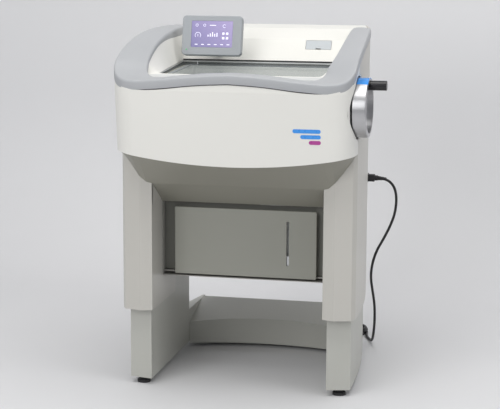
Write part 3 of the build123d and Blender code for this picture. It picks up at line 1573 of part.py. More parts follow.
with BuildPart() as cord_coil:
    with BuildSketch(level(coil_bottom, x=coil_x, y=coil_y)):
        Circle(coil_outer)
        Circle(coil_inner, mode=Mode.SUBTRACT)
    extrude(amount=coil_height)
finish(cord_coil, "cord_coil")

with BuildPart() as cord_plug:
    with BuildSketch(facing_right(plug_end_x - plug_length, y=plug_y, z=plug_height / 2)):
        RectangleRounded(plug_width, plug_height, 6)
    extrude(amount=plug_length)
finish(cord_plug, "cord_plug")
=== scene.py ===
"""Dresses an imported floor-standing cryostat: finishes, mains cord, small parts, floor, lights and camera."""

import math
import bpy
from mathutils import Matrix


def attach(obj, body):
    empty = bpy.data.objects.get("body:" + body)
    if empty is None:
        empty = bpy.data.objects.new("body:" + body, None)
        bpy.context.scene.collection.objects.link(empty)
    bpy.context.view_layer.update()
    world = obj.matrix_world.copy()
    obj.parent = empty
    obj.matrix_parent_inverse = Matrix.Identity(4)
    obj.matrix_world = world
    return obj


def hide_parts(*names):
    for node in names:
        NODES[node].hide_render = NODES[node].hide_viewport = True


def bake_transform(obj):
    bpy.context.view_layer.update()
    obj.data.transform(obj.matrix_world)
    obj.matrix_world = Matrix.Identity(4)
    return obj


bl_info = {
    "name": "Cryostat Dresser",
    "version": (1, 0, 0),
    "blender": (4, 5, 0),
    "location": "View3D > Sidebar > Cryostat",
    "description": "Finishes and small parts for a floor-standing cryostat",
    "category": "Object",
}

import bmesh
import bpy
from bpy.props import FloatProperty, FloatVectorProperty, PointerProperty
from mathutils import Matrix, Vector
from mathutils.bvhtree import BVHTree

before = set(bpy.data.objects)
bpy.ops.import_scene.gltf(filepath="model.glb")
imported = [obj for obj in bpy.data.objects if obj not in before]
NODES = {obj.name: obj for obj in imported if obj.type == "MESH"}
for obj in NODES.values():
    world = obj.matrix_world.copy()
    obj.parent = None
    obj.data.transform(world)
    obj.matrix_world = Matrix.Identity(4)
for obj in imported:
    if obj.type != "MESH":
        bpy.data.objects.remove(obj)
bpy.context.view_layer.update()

# the machine's own datum, mid-plane and column fronts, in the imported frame
MID_X, MID_Y = -0.0385, -0.296

# middle of the screen at rest, in the machine's own millimetres, and how far it leans back in degrees
SCREEN_CENTRE, SCREEN_LEAN = (-145, 300, 1038), 12


def at(x, y, z):
    """A point given in millimetres from the machine's own datum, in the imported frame."""
    return Vector((x / 1000 + MID_X, y / 1000 + MID_Y, z / 1000))


# ---------------------------------------------------------------- sizes and colours
class CryostatColours(bpy.types.PropertyGroup):
    """Colours of the covers and trim."""
    cover: FloatVectorProperty(
        name="Covers", description="Warm white of hood and console", subtype="COLOR",
        default=(0.80, 0.79, 0.745), min=0, max=1)
    # the side covers' white is painted greyer, as painted shade under the hood
    column: FloatVectorProperty(
        name="Columns", description="Greyer white of the side covers", subtype="COLOR",
        default=(0.54, 0.525, 0.485), min=0, max=1)
    leg: FloatVectorProperty(
        name="Legs", description="Grey of legs and stretcher", subtype="COLOR",
        default=(0.49, 0.49, 0.45), min=0, max=1)
    # the underside's olive grey is darkened as painted shade under the hood
    underside: FloatVectorProperty(
        name="Underside", description="Olive grey under the hood", subtype="COLOR",
        default=(0.26, 0.252, 0.212), min=0, max=1)
    armrest: FloatVectorProperty(
        name="Armrest", description="Blue grey of the armrest", subtype="COLOR",
        default=(0.405, 0.415, 0.43), min=0, max=1)
    # the drawer's own grey green, darkened as painted shade under the hood
    drawer: FloatVectorProperty(
        name="Drawer front", description="Grey green of the drawer", subtype="COLOR",
        default=(0.30, 0.30, 0.262), min=0, max=1)
    accent: FloatVectorProperty(
        name="Accent", description="Blue of the bars and the wheel's insert", subtype="COLOR",
        default=(0.05, 0.30, 0.80), min=0, max=1)
    accent_two: FloatVectorProperty(
        name="Second accent", description="Magenta of the shortest bar", subtype="COLOR",
        default=(0.42, 0.05, 0.28), min=0, max=1)


class CryostatSizes(bpy.types.PropertyGroup):
    """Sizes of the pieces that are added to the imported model."""
    cord_diameter: FloatProperty(
        name="Cord diameter", description="Outside of the mains cord", default=0.0084,
        min=0.005, max=0.012, unit="LENGTH")
    relief_length: FloatProperty(
        name="Strain relief", description="Length of the tapered strain relief",
        default=0.03, min=0.02, max=0.06, unit="LENGTH")
    bar_height: FloatProperty(
        name="Bar height", description="Height of one accent bar", default=0.0115,
        min=0.003, max=0.02, unit="LENGTH")
    screw_radius: FloatProperty(
        name="Screw head", description="Radius of a cover screw", default=0.0042,
        min=0.002, max=0.008, unit="LENGTH")


# ---------------------------------------------------------------- material kit
class Wire:
    """A number inside a material, which takes part in Python sums."""

    def __init__(self, kit, socket):
        self.kit, self.socket = kit, socket

    def _sum(self, operation, first, second):
        return self.kit.node("ShaderNodeMath", {"operation": operation}, [first, second])

    def __add__(self, other):
        return self._sum("ADD", self, other)

    __radd__ = __add__

    def __sub__(self, other):
        return self._sum("SUBTRACT", self, other)

    def __rsub__(self, other):
        return self._sum("SUBTRACT", other, self)

    def __mul__(self, other):
        return self._sum("MULTIPLY", self, other)

    __rmul__ = __mul__

    def clamp(self, low=0.0, high=1.0):
        return self._sum("MINIMUM", self._sum("MAXIMUM", self, low), high)

    def above(self, edge, width):
        """0 below edge, 1 above it, over a soft width."""
        return ((self - edge) * (1 / width) + 0.5).clamp()


class Finish:
    """One material, built from nodes in plain steps."""

    def __init__(self, name):
        self.material = bpy.data.materials.new(name)
        self.material.use_nodes = True
        self.tree = self.material.node_tree
        self.shader = next(n for n in self.tree.nodes if n.type == "BSDF_PRINCIPLED")

    def feed(self, socket, value):
        """Links a wire to a socket, or gives the socket a number, a vector or a colour."""
        if isinstance(value, Wire):
            self.tree.links.new(value.socket, socket)
        elif socket.type == "RGBA":
            socket.default_value = (*tuple(value)[:3], 1)
        else:
            socket.default_value = value

    def node(self, kind, settings=None, values=(), output=0):
        """Adds any node; values is a list for its sockets in order, or a dict by name."""
        made = self.tree.nodes.new(kind)
        for key, value in (settings or {}).items():
            setattr(made, key, value)
        pairs = values.items() if isinstance(values, dict) else enumerate(values)
        for key, value in pairs:
            self.feed(made.inputs[key], value)
        return Wire(self, made.outputs[output])

    def where(self, output=3):
        """Object coordinates, in metres."""
        return self.node("ShaderNodeTexCoord", output=output)

    def place(self, scale=(1, 1, 1)):
        """Object coordinates stretched by scale."""
        return self.node("ShaderNodeMapping", values={"Vector": self.where(), "Scale": scale})

    def noise(self, scale, detail=2.0, roughness=0.5, stretch=(1, 1, 1)):
        return self.node("ShaderNodeTexNoise", values={"Vector": self.place(stretch), "Scale": scale,
                                                       "Detail": detail, "Roughness": roughness})

    def across(self):
        """Place from left to right, in metres."""
        return self.node("ShaderNodeSeparateXYZ", values=[self.where()], output=0)

    def height(self):
        """Height above the floor, in metres."""
        return self.node("ShaderNodeSeparateXYZ", values=[self.where()], output=2)

    def mix(self, factor, first, second):
        """A colour between two."""
        made = self.tree.nodes.new("ShaderNodeMix")
        made.data_type = "RGBA"
        for socket, value in zip((made.inputs[0], made.inputs[6], made.inputs[7]), (factor, first, second)):
            self.feed(socket, value)
        return Wire(self, made.outputs[2])

    def bump(self, height, strength, distance):
        return self.node("ShaderNodeBump", values={"Height": height, "Strength": strength,
                                                   "Distance": distance})

    def set(self, **values):
        for key, value in values.items():
            self.feed(self.shader.inputs[key.replace("_", " ")], value)
        return self


# ---------------------------------------------------------------- finishes
def shade(colour, factor):
    """A colour made lighter or darker."""
    return tuple(min(1.0, c * factor) for c in tuple(colour)[:3])


def painted(name, colour, roughness=0.38, grain=1.0, low_darkening=0.05):
    """Sprayed enamel: fine orange peel, faint tone changes and a little darker near the floor."""
    f = Finish(name)
    tone = f.noise(3.5, 3.0, 0.55)
    fine = f.noise(900, 2.0, 0.5)
    # darker close to the floor, fading out by about 0.23 m up
    low = (1.0 - f.height().above(0.12, 0.22)) * low_darkening
    toned_colour = f.mix((tone * 0.5 + low).clamp(), shade(colour, 1.03), shade(colour, 0.90))
    f.set(Base_Color=toned_colour, Roughness=(tone * 0.10 + (roughness - 0.05) + fine * 0.04).clamp(0.05, 0.9),
          Normal=f.bump(fine, 0.10 * grain, 0.0004), Coat_Weight=0.15, Coat_Roughness=0.25,
          Specular_IOR_Level=0.42)
    return f.material


def moulded(name, colour, roughness=0.45, grain=0.35):
    """Moulded plastic with a fine spark-eroded grain."""
    f = Finish(name)
    cells = f.node("ShaderNodeTexVoronoi", {"feature": "F1"}, {"Vector": f.place(), "Scale": 1400.0})
    tone = f.noise(6.0, 4.0, 0.6)
    f.set(Base_Color=f.mix(tone, shade(colour, 0.94), shade(colour, 1.05)),
          Roughness=(tone * 0.12 + (roughness - 0.06)).clamp(0.04, 1.0), Normal=f.bump(cells, grain, 0.0002))
    return f.material


def brushed(name, colour, roughness=0.28, stretch=(1, 60, 60), polish=1.0):
    """Metal with fine scratches along one direction, metres apart in the other two."""
    f = Finish(name)
    lines = f.noise(45.0, 5.0, 0.65, stretch)
    cloud = f.noise(9.0, 3.0, 0.5)
    f.set(Base_Color=f.mix((lines * 0.6 + cloud * 0.4).clamp(), shade(colour, 0.84), shade(colour, 1.06)),
          Roughness=(lines * 0.22 * polish + cloud * 0.06 + (roughness - 0.12)).clamp(0.05, 0.8), Metallic=1.0,
          Normal=f.bump(lines, 0.08 * polish, 0.0003))
    return f.material


def soft_rubber(name, colour, roughness=0.62):
    """Matt rubber with a little bloom."""
    f = Finish(name)
    bloom = f.noise(40.0, 4.0, 0.6)
    fine = f.noise(1600.0, 2.0)
    f.set(Base_Color=f.mix(bloom, colour, shade(colour, 1.9)),
          Roughness=(bloom * 0.16 + (roughness - 0.08)).clamp(), Normal=f.bump(fine, 0.2, 0.0002))
    return f.material


def clear_glass(name, colour, roughness=0.02):
    """Tinted sheet glass that lets most light through."""
    f = Finish(name)
    smear = f.noise(7.0, 4.0, 0.6)
    f.set(Base_Color=colour, Roughness=(smear * 0.05 + roughness).clamp(0.0, 0.3), Alpha=0.16, IOR=1.5,
          Specular_IOR_Level=0.6)
    f.material.surface_render_method = "BLENDED"
    return f.material


def lit_display(name, low, high):
    """A display whose glow runs from one colour at its lower left to another at its upper right."""
    f = Finish(name)
    centre = at(*SCREEN_CENTRE)
    run = ((f.across() - centre.x) * 3.2 + (f.height() - centre.z) * 3.6 + 0.5).clamp()
    colour = f.mix(run, low, high)
    f.set(Base_Color=colour, Roughness=0.16, Emission_Color=colour, Emission_Strength=0.12)
    return f.material


def dress_with(node, material):
    """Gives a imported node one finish."""
    mesh = NODES[node].data
    if not mesh.materials:
        mesh.materials.append(material)
    for slot in NODES[node].material_slots:
        slot.material = material


# ---------------------------------------------------------------- mesh helpers
def new_piece(name, bm, material, body, smooth=35.0):
    """Turns a bmesh into a finished piece that rides on a body."""
    bmesh.ops.recalc_face_normals(bm, faces=bm.faces)
    mesh = bpy.data.meshes.new(name)
    bm.to_mesh(mesh)
    bm.free()
    mesh.materials.append(material)
    piece = bpy.data.objects.new(name, mesh)
    bpy.context.scene.collection.objects.link(piece)
    if smooth:
        mesh.shade_smooth()
        mesh.set_sharp_from_angle(angle=math.radians(smooth))
    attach(piece, body)
    return piece


def surface_of(*names):
    """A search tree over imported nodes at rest."""
    points, faces = [], []
    for name in names:
        mesh = NODES[name].data
        base = len(points)
        points += [v.co.copy() for v in mesh.vertices]
        faces += [[base + i for i in p.vertices] for p in mesh.polygons]
    return BVHTree.FromPolygons(points, faces)


def smooth_outline(points, steps=5):
    """A smooth line through points, with steps samples to each span."""
    points = [Vector(p) for p in points]
    out = []
    for i in range(len(points) - 1):
        p0, p1 = points[max(i - 1, 0)], points[i]
        p2, p3 = points[i + 1], points[min(i + 2, len(points) - 1)]
        for k in range(steps):
            t = k / steps
            out.append(0.5 * ((2 * p1) + (p2 - p0) * t + (2 * p0 - 5 * p1 + 4 * p2 - p3) * t * t
                              + (3 * p1 - p0 - 3 * p2 + p3) * t ** 3))
    return out + [points[-1]]


def circle(sides):
    """Points of a unit circle."""
    turns = [2 * math.pi * k / sides for k in range(sides)]
    return [(math.cos(a), math.sin(a)) for a in turns]


def join_rings(bm, rings, capped=True):
    """Skins a row of rings with as many vertices each, and closes both ends."""
    for one, two in zip(rings, rings[1:]):
        for k in range(len(one)):
            after = (k + 1) % len(one)
            bm.faces.new((one[k], one[after], two[after], two[k]))
    if capped:
        bm.faces.new(rings[0])
        bm.faces.new(rings[-1][::-1])


def add_block(bm, low, high):
    """A box between two corners in the machine's own millimetres."""
    corners = [bm.verts.new(at(x, y, z)) for x in (low[0], high[0]) for y in (low[1], high[1])
               for z in (low[2], high[2])]
    for quad in ((0, 1, 3, 2), (4, 6, 7, 5), (0, 4, 5, 1), (2, 3, 7, 6), (0, 2, 6, 4), (1, 5, 7, 3)):
        bm.faces.new([corners[i] for i in quad])


def thicken(bm, way):
    """Gives the faces of a sheet a second skin, moved by way."""
    made = bmesh.ops.extrude_face_region(bm, geom=bm.faces[:])
    moved = [v for v in made["geom"] if isinstance(v, bmesh.types.BMVert)]
    bmesh.ops.translate(bm, verts=moved, vec=way)


def repeated(name, spots, template, turn, size, material):
    """Copies of a small mesh of unit size on a list of spots, as one plain mesh."""
    points = bpy.data.meshes.new(name)
    points.from_pydata([tuple(s) for s in spots], [], [])
    holder = bpy.data.objects.new(name, points)
    pattern = bpy.data.objects.new(name + "_pattern", template)
    for made in (holder, pattern):
        bpy.context.scene.collection.objects.link(made)
    tree = bpy.data.node_groups.new(name, "GeometryNodeTree")
    tree.interface.new_socket(name="Geometry", in_out="INPUT", socket_type="NodeSocketGeometry")
    size_input = tree.interface.new_socket(name="Size", in_out="INPUT", socket_type="NodeSocketFloat")
    tree.interface.new_socket(name="Geometry", in_out="OUTPUT", socket_type="NodeSocketGeometry")
    start = tree.nodes.new("NodeGroupInput")
    places = tree.nodes.new("GeometryNodeMeshToPoints")
    info = tree.nodes.new("GeometryNodeObjectInfo")
    info.inputs["Object"].default_value = pattern
    put = tree.nodes.new("GeometryNodeInstanceOnPoints")
    put.inputs["Rotation"].default_value = turn
    real = tree.nodes.new("GeometryNodeRealizeInstances")
    paint = tree.nodes.new("GeometryNodeSetMaterial")
    paint.inputs["Material"].default_value = material
    end = tree.nodes.new("NodeGroupOutput")
    for a, out, b, into in ((start, 0, places, "Mesh"), (places, 0, put, "Points"),
                            (start, "Size", put, "Scale"), (info, "Geometry", put, "Instance"),
                            (put, 0, real, 0), (real, 0, paint, "Geometry"), (paint, 0, end, 0)):
        tree.links.new(a.outputs[out], b.inputs[into])
    modifier = holder.modifiers.new("repeat", "NODES")
    modifier.node_group = tree
    modifier[size_input.identifier] = size
    bpy.context.view_layer.update()
    mesh = bpy.data.meshes.new_from_object(holder.evaluated_get(bpy.context.evaluated_depsgraph_get()))
    holder.modifiers.clear()
    for made in (holder, pattern):
        bpy.data.objects.remove(made)
    bm = bmesh.new()
    bm.from_mesh(mesh)
    return bm


# ---------------------------------------------------------------- stage
# the camera's place in the machine's own millimetres, its angles in degrees and its lens
CAMERA_PLACE = (959.6, -4238.5, 1313.1)
CAMERA_YAW, CAMERA_PITCH, CAMERA_ROLL = 12.215, 9.708, 0.290
FOCAL_PIXELS, PICTURE_WIDTH, SENSOR_WIDTH = 1521.3, 500, 36
VIEW_DEPTH = 60

# floor and wall, in metres: half the width, front edge, wall, radius of the bend between them, and top
SHEET_HALF, SHEET_FRONT, SHEET_WALL, SHEET_BEND, SHEET_TOP = 7.0, -6.0, 1.6, 0.7, 5.0
BEND_STEPS = 12

# name, place, aim, size, power and colour of each lamp
LAMPS = (("ceiling", (0.2, -0.9, 3.6), (0, 0.0, 0.4), (3.6, 2.6), 82, (1.0, 0.99, 0.97)),
         ("front", (-1.6, -4.2, 2.2), (0, 0, 0.6), (2.6, 2.2), 66, (1, 1, 1)),
         ("side", (3.4, -1.4, 1.8), (0.1, 0, 0.6), (1.6, 2.2), 20, (0.97, 0.98, 1.0)))
SKY_COLOUR, SKY_STRENGTH = (0.86, 0.88, 0.92, 1), 0.36


class CRYOSTAT_OT_stage(bpy.types.Operator):
    """Pale floor, backdrop, soft studio lights and the camera"""
    bl_idname = "cryostat.stage"
    bl_label = "Stage"

    def execute(self, context):
        scene = context.scene
        scene.view_settings.view_transform = "Standard"
        self.camera(scene)
        self.sheet(scene)
        for lamp in LAMPS:
            self.lamp(scene, *lamp)
        if scene.world is None:
            scene.world = bpy.data.worlds.new("studio")
        scene.world.use_nodes = True
        sky = next(n for n in scene.world.node_tree.nodes if n.type == "BACKGROUND")
        sky.inputs["Color"].default_value = SKY_COLOUR
        sky.inputs["Strength"].default_value = SKY_STRENGTH
        return {"FINISHED"}

    def camera(self, scene):
        """A long lens that looks a little down from the user's right."""
        yaw, pitch, roll = (math.radians(a) for a in (CAMERA_YAW, CAMERA_PITCH, CAMERA_ROLL))
        ahead = Vector((-math.sin(yaw) * math.cos(pitch), math.cos(yaw) * math.cos(pitch), -math.sin(pitch)))
        right = Vector((math.cos(yaw), math.sin(yaw), 0))
        up = right.cross(ahead)
        right, up = (math.cos(roll) * right + math.sin(roll) * up,
                     math.cos(roll) * up - math.sin(roll) * right)
        camera = bpy.data.objects.new("camera", bpy.data.cameras.new("camera"))
        camera.data.lens = FOCAL_PIXELS / PICTURE_WIDTH * SENSOR_WIDTH
        camera.data.sensor_width = SENSOR_WIDTH
        camera.data.clip_end = VIEW_DEPTH
        turn = Matrix((right, up, -ahead)).transposed().to_4x4()
        camera.matrix_world = Matrix.Translation(at(*CAMERA_PLACE)) @ turn
        scene.collection.objects.link(camera)
        scene.camera = camera

    def sheet(self, scene):
        """Floor and wall as one sheet with a rounded corner."""
        foot = SHEET_WALL - SHEET_BEND
        profile = [(SHEET_FRONT, 0.0), (foot, 0.0)]
        for k in range(1, BEND_STEPS + 1):
            turn = math.pi / 2 * k / BEND_STEPS
            profile.append((foot + SHEET_BEND * math.sin(turn), SHEET_BEND * (1 - math.cos(turn))))
        profile.append((SHEET_WALL, SHEET_TOP))
        bm = bmesh.new()
        left, right = ([bm.verts.new((x, y, z)) for y, z in profile] for x in (-SHEET_HALF, SHEET_HALF))
        for k in range(len(profile) - 1):
            bm.faces.new((left[k], right[k], right[k + 1], left[k + 1]))
        mesh = bpy.data.meshes.new("floor")
        bm.to_mesh(mesh)
        bm.free()
        mesh.shade_smooth()
        mesh.materials.append(self.pale_floor())
        floor = bpy.data.objects.new("floor", mesh)
        scene.collection.objects.link(floor)

    def pale_floor(self):
        """A matt pale floor, which can't be seen from behind."""
        f = Finish("pale floor")
        speck = f.noise(420.0, 3.0, 0.6)
        f.set(Base_Color=f.mix(speck, (0.70, 0.70, 0.71), (0.76, 0.76, 0.77)), Roughness=0.75,
              Specular_IOR_Level=0.2)
        behind = f.node("ShaderNodeNewGeometry", output="Backfacing")
        clear = f.node("ShaderNodeBsdfTransparent")
        both = f.node("ShaderNodeMixShader", values=[behind, Wire(f, f.shader.outputs[0]), clear])
        surface = next(n for n in f.tree.nodes if n.type == "OUTPUT_MATERIAL").inputs["Surface"]
        f.tree.links.new(both.socket, surface)
        return f.material

    def lamp(self, scene, name, place, aim, size, power, colour):
        """One rectangular area light."""
        data = bpy.data.lights.new(name, "AREA")
        data.shape = "RECTANGLE"
        data.size, data.size_y = size
        data.energy = power
        data.color = colour
        made = bpy.data.objects.new(name, data)
        made.location = place
        made.rotation_euler = (Vector(aim) - Vector(place)).to_track_quat("-Z", "Y").to_euler()
        scene.collection.objects.link(made)


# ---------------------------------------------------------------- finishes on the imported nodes
class CRYOSTAT_OT_finishes(bpy.types.Operator):
    """Paint, plastic, metal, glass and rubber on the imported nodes"""
    bl_idname = "cryostat.finishes"
    bl_label = "Finishes"

    def execute(self, context):
        c = context.scene.cryostat_colours
        cover = painted("warm white enamel", c.cover)
        # the column colour carries painted shade from the hood
        column = painted("column enamel with painted shade", c.column)
        leg = painted("leg enamel", c.leg, 0.42, low_darkening=0.12)
        # the belly pan's darkness is painted shade
        under = painted("underside enamel in painted shade", c.underside, 0.45)
        # the drawer colour carries painted shade
        drawer = painted("drawer enamel with painted shade", c.drawer, 0.5)
        frame_paint = painted("dark frame enamel", (0.05, 0.05, 0.052), 0.5)
        # the bay housing takes the column colour darkened, as painted shade in the recess
        bay = painted("bay enamel in painted shade", shade(c.column, 0.6), 0.5)
        tub = painted("chamber enamel", (0.66, 0.68, 0.65), 0.32)
        arm = moulded("armrest plastic", c.armrest, 0.42, 0.25)
        bezel = moulded("bezel plastic", (0.62, 0.63, 0.62), 0.45)
        screen = moulded("screen plastic", (0.34, 0.36, 0.38), 0.42)
        flap = moulded("flap plastic", (0.52, 0.55, 0.57), 0.45)
        black = moulded("black plastic", (0.012, 0.012, 0.014), 0.16, 0.05)
        black_matt = moulded("matt black plastic", (0.02, 0.02, 0.022), 0.5)
        bottle = moulded("milky bottle plastic", (0.78, 0.80, 0.78), 0.35, 0.1)
        blue = moulded("blue insert plastic", c.accent, 0.22, 0.05)
        foam = moulded("yellowed foam", (0.72, 0.64, 0.42), 0.9, 0.8)
        rubber = soft_rubber("black rubber", (0.014, 0.014, 0.015))
        seal = soft_rubber("grey seal rubber", (0.16, 0.17, 0.175))
        steel = brushed("brushed stainless steel", (0.60, 0.61, 0.62))
        wheel = brushed("turned aluminium", (0.54, 0.54, 0.55), 0.34, (60, 3, 3), 0.5)
        bright = brushed("ground steel", (0.72, 0.73, 0.75), 0.14, (1, 40, 40), 0.4)
        cast = brushed("bead-blasted aluminium", (0.62, 0.63, 0.64), 0.42, (9, 9, 9))
        glass = clear_glass("window glass", (0.62, 0.68, 0.70), 0.02)
        guard = clear_glass("anti-roll glass", (0.80, 0.86, 0.88))
        display = lit_display("display", (0.085, 0.08, 0.26), (0.36, 0.29, 0.54))
        worn_by = {
            cover: "front_panel console well_walls wheel_dish",
            column: "side_shell_left side_shell_right rear_cover",
            leg: "leg_left leg_right base_stretcher",
            under: "belly_pan", drawer: "drawer_front", frame_paint: "compressor", bay: "bay_housing",
            tub: "chamber_tub microtome_housing",
            arm: "armrest", bezel: "chamber_bezel", screen: "screen_housing screen_arm", flap: "filter_flap",
            black: "wheel_grip wheel_lock window_handle knife_lever",
            black_matt: "window_rails fan power_switch cord_connector",
            bottle: "drain_bottle", blue: "wheel_insert", foam: "insulation",
            rubber: "levelling_feet castor_wheel_left castor_wheel_right drive_belt",
            seal: "chamber_gasket",
            steel: "drawer_tray lift_tubes lift_masts knife_bed knife_holder "
                   "drive_shaft crank_shaft",
            wheel: "handwheel", bright: "guide_rods specimen_slide specimen_arm knife_blade",
            cast: "cold_shelf specimen_head knife_base crank_bearing condenser",
            glass: "window_glass", guard: "anti_roll_plate", display: "screen_panel",
        }
        for material, names in worn_by.items():
            for name in names.split():
                dress_with(name, material)
        return {"FINISHED"}


# ---------------------------------------------------------------- mains cord
# the cord's middle from the inlet down to the floor, in the machine's own millimetres
CORD_ROUTE = [(347, 500, 586), (371, 500, 584.3), (391.3, 500.5, 571.6), (404.3, 502, 549), (408, 504, 513),
              (402.5, 507, 469), (386, 511, 425), (366, 515, 385), (344, 522, 345), (330, 531, 300),
              (325, 541, 255), (330, 552, 210), (336, 563, 165), (336, 577, 120), (332, 601, 76),
              (325, 630, 35), (316, 664, 11), (304, 702, 5.5), (288, 740, 5.5)]
# where it lies still on the floor
CORD_REST = (300, 702, 6)
COIL_CENTRE = (228, 800)
# how the turns climb: degrees travelled, radius and height in millimetres
COIL_TURNS = [(0, 53, 4.7), (315, 53, 4.7), (360, 44, 4.7), (585, 44, 4.7), (675, 44, 13.3), (855, 44, 13.3),
              (945, 53, 13.3), (1125, 53, 13.3), (1215, 53, 21.0), (1395, 53, 21.0), (1485, 44, 21.0),
              (1530, 44, 21.0)]

# outer and inner face of the tie: least and greatest radius in the coil, bottom, top and rounding
TIE_FACES = ((38.4, 58.6, 0.05, 26.6, 5.0), (39.4, 57.6, 0.4, 25.6, 4.0))
TIE_TURN, TIE_HALF_WIDTH = 100, 7

# the plug lies along -X, its middle at this depth and height
PLUG_Y, PLUG_Z = 844, 13
# its place, half width and half height from the cord's end on
PLUG_SECTIONS = ((174.2, 5.5, 5.5), (170, 7, 7), (163, 8.5, 8.0), (158, 12.5, 9.5), (152, 15.5, 11.5),
                 (147, 17.0, 12.8), (131.2, 17.0, 12.8), (129.6, 15.5, 11.4))
# below 1, the power of a circle's sine and cosine makes its outline squarer
PLUG_SQUARENESS = 0.62

# the strain relief, in metres: radius at its root, taper, depth of a groove and hidden root
RELIEF_RADIUS, RELIEF_TAPER, RELIEF_GROOVE, RELIEF_ROOT = 0.0078, 0.0030, 0.0010, 0.002
RELIEF_RIBS = 6


def coil_points(per_turn=18, start=8.0):
    """The coil's turns as control points, in millimetres."""
    points = []
    step = 360 / per_turn
    slack = 0.1
    travelled = 0.0
    while travelled <= COIL_TURNS[-1][0] + slack:
        for before, after in zip(COIL_TURNS, COIL_TURNS[1:]):
            if before[0] <= travelled <= after[0] + slack:
                share = min(1.0, (travelled - before[0]) / (after[0] - before[0]))
                share = share * share * (3 - 2 * share)
                radius = before[1] + (after[1] - before[1]) * share
                height = before[2] + (after[2] - before[2]) * share
                break
        angle = math.radians(start + travelled)
        points.append((COIL_CENTRE[0] + radius * math.cos(angle), COIL_CENTRE[1] + radius * math.sin(angle),
                       height))
        travelled += step
    return points


def cord_sheath():
    """Black vinyl with a fine grain."""
    f = Finish("cord sheath")
    fine = f.noise(900.0, 2.0)
    bloom = f.noise(24.0, 3.0)
    f.set(Base_Color=f.mix(bloom, (0.010, 0.010, 0.011), (0.022, 0.022, 0.024)),
          Roughness=(bloom * 0.12 + 0.40).clamp(), Normal=f.bump(fine, 0.12, 0.0002))
    return f.material


class CRYOSTAT_OT_mains_cord(bpy.types.Operator):
    """Mains cord from the inlet to its coil and plug behind the right leg"""
    bl_idname = "cryostat.mains_cord"
    bl_label = "Mains cord"

    def execute(self, context):
        sizes = context.scene.cryostat_sizes
        sheath = cord_sheath()
        tube, path = self.drawn(context, sizes.cord_diameter / 2)
        tube.materials.clear()
        tube.materials.append(sheath)
        tube.shade_smooth()
        cord = bpy.data.objects.new("mains_cord", tube)
        context.scene.collection.objects.link(cord)
        plug = self.plug(sheath)
        relief = self.relief(sheath, sizes.relief_length)
        self.tie(soft_rubber("woven tie", (0.03, 0.03, 0.034), 0.85))
        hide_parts("power_cord", "cord_coil")
        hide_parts("cord_plug")
        at(*CORD_ROUTE[0])
        at(*CORD_REST)
        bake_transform(cord)
        at(*CORD_ROUTE[0])
        return {"FINISHED"}

    def drawn(self, context, radius):
        """The tube along the whole route, and its middle line."""
        coil = coil_points()
        last_x, _, last_z = coil[-1]
        # leaves the top turn and drops into the plug
        tail = [(last_x - 20, PLUG_Y, last_z), (194, PLUG_Y, 20.5), (182, PLUG_Y, 16.5), (172, PLUG_Y, 13.2)]
        route = CORD_ROUTE + coil + tail
        data = bpy.data.curves.new("mains_cord", "CURVE")
        data.dimensions = "3D"
        line = data.splines.new("NURBS")
        line.points.add(len(route) - 1)
        for point, place in zip(line.points, route):
            point.co = (*at(*place), 1)
        line.order_u = 3
        line.use_endpoint_u = True
        line.resolution_u = 6
        holder = bpy.data.objects.new("cord_route", data)
        context.scene.collection.objects.link(holder)
        middle = bpy.data.meshes.new_from_object(holder.evaluated_get(context.evaluated_depsgraph_get()))
        path = [v.co.copy() for v in middle.vertices]
        data.bevel_depth = radius
        data.bevel_resolution = 4
        data.use_fill_caps = True
        context.view_layer.update()
        tube = bpy.data.meshes.new_from_object(holder.evaluated_get(context.evaluated_depsgraph_get()))
        tube.name = "mains_cord"
        bpy.data.objects.remove(holder)
        return tube, path

    def tie(self, material):
        """A hook-and-loop tie round the coil."""
        bm = bmesh.new()
        turn = math.radians(TIE_TURN)
        outward = Vector((math.cos(turn), math.sin(turn), 0))
        along = Vector((-math.sin(turn), math.cos(turn), 0))
        centre = Vector((*COIL_CENTRE, 0))
        faces = []
        for low_r, high_r, low_z, high_z, rounding in TIE_FACES:
            outline = []
            near, far = low_r + rounding, high_r - rounding
            foot, head = low_z + rounding, high_z - rounding
            for r, z, begin in ((far, head, 0), (near, head, 90), (near, foot, 180), (far, foot, 270)):
                for step in range(0, 91, 15):
                    a = math.radians(begin + step)
                    outline.append((r + rounding * math.cos(a), z + rounding * math.sin(a)))
            faces.append([[bm.verts.new(at(*(centre + outward * r + along * w + Vector((0, 0, z)))))
                           for r, z in outline] for w in (-TIE_HALF_WIDTH, TIE_HALF_WIDTH)])
        (outer_near, outer_far), (inner_near, inner_far) = faces
        join_rings(bm, [outer_near, outer_far, inner_far, inner_near, outer_near], capped=False)
        return new_piece("coil_tie", bm, material, "base", 40.0)

    def plug(self, material):
        """The plug's moulded body."""
        def squarer(share):
            return math.copysign(abs(share) ** PLUG_SQUARENESS, share)

        bm = bmesh.new()
        join_rings(bm, [[bm.verts.new(at(x, PLUG_Y + wide * squarer(y), PLUG_Z + high * squarer(z)))
                         for y, z in circle(28)] for x, wide, high in PLUG_SECTIONS])
        return new_piece("mains_plug", bm, material, "base")

    def relief(self, material, length):
        """The tapered and slotted strain relief on the connector."""
        bm = bmesh.new()
        inlet = at(*CORD_ROUTE[0])
        start = inlet - Vector((RELIEF_ROOT, 0, 0))
        heading = (at(*CORD_ROUTE[1]) - inlet).normalized()
        side = heading.cross(Vector((0, 1, 0))).normalized()
        other = heading.cross(side)
        rings = []
        steps = RELIEF_RIBS * 4
        for k in range(steps + 1):
            share = k / steps
            radius = RELIEF_RADIUS - RELIEF_TAPER * share
            if k % 4 in (2, 3):
                radius -= RELIEF_GROOVE
            centre = start + heading * (length * share)
            rings.append([bm.verts.new(centre + side * (radius * c) + other * (radius * s))
                          for c, s in circle(20)])
        join_rings(bm, rings)
        return new_piece("strain_relief", bm, material, "cabinet")


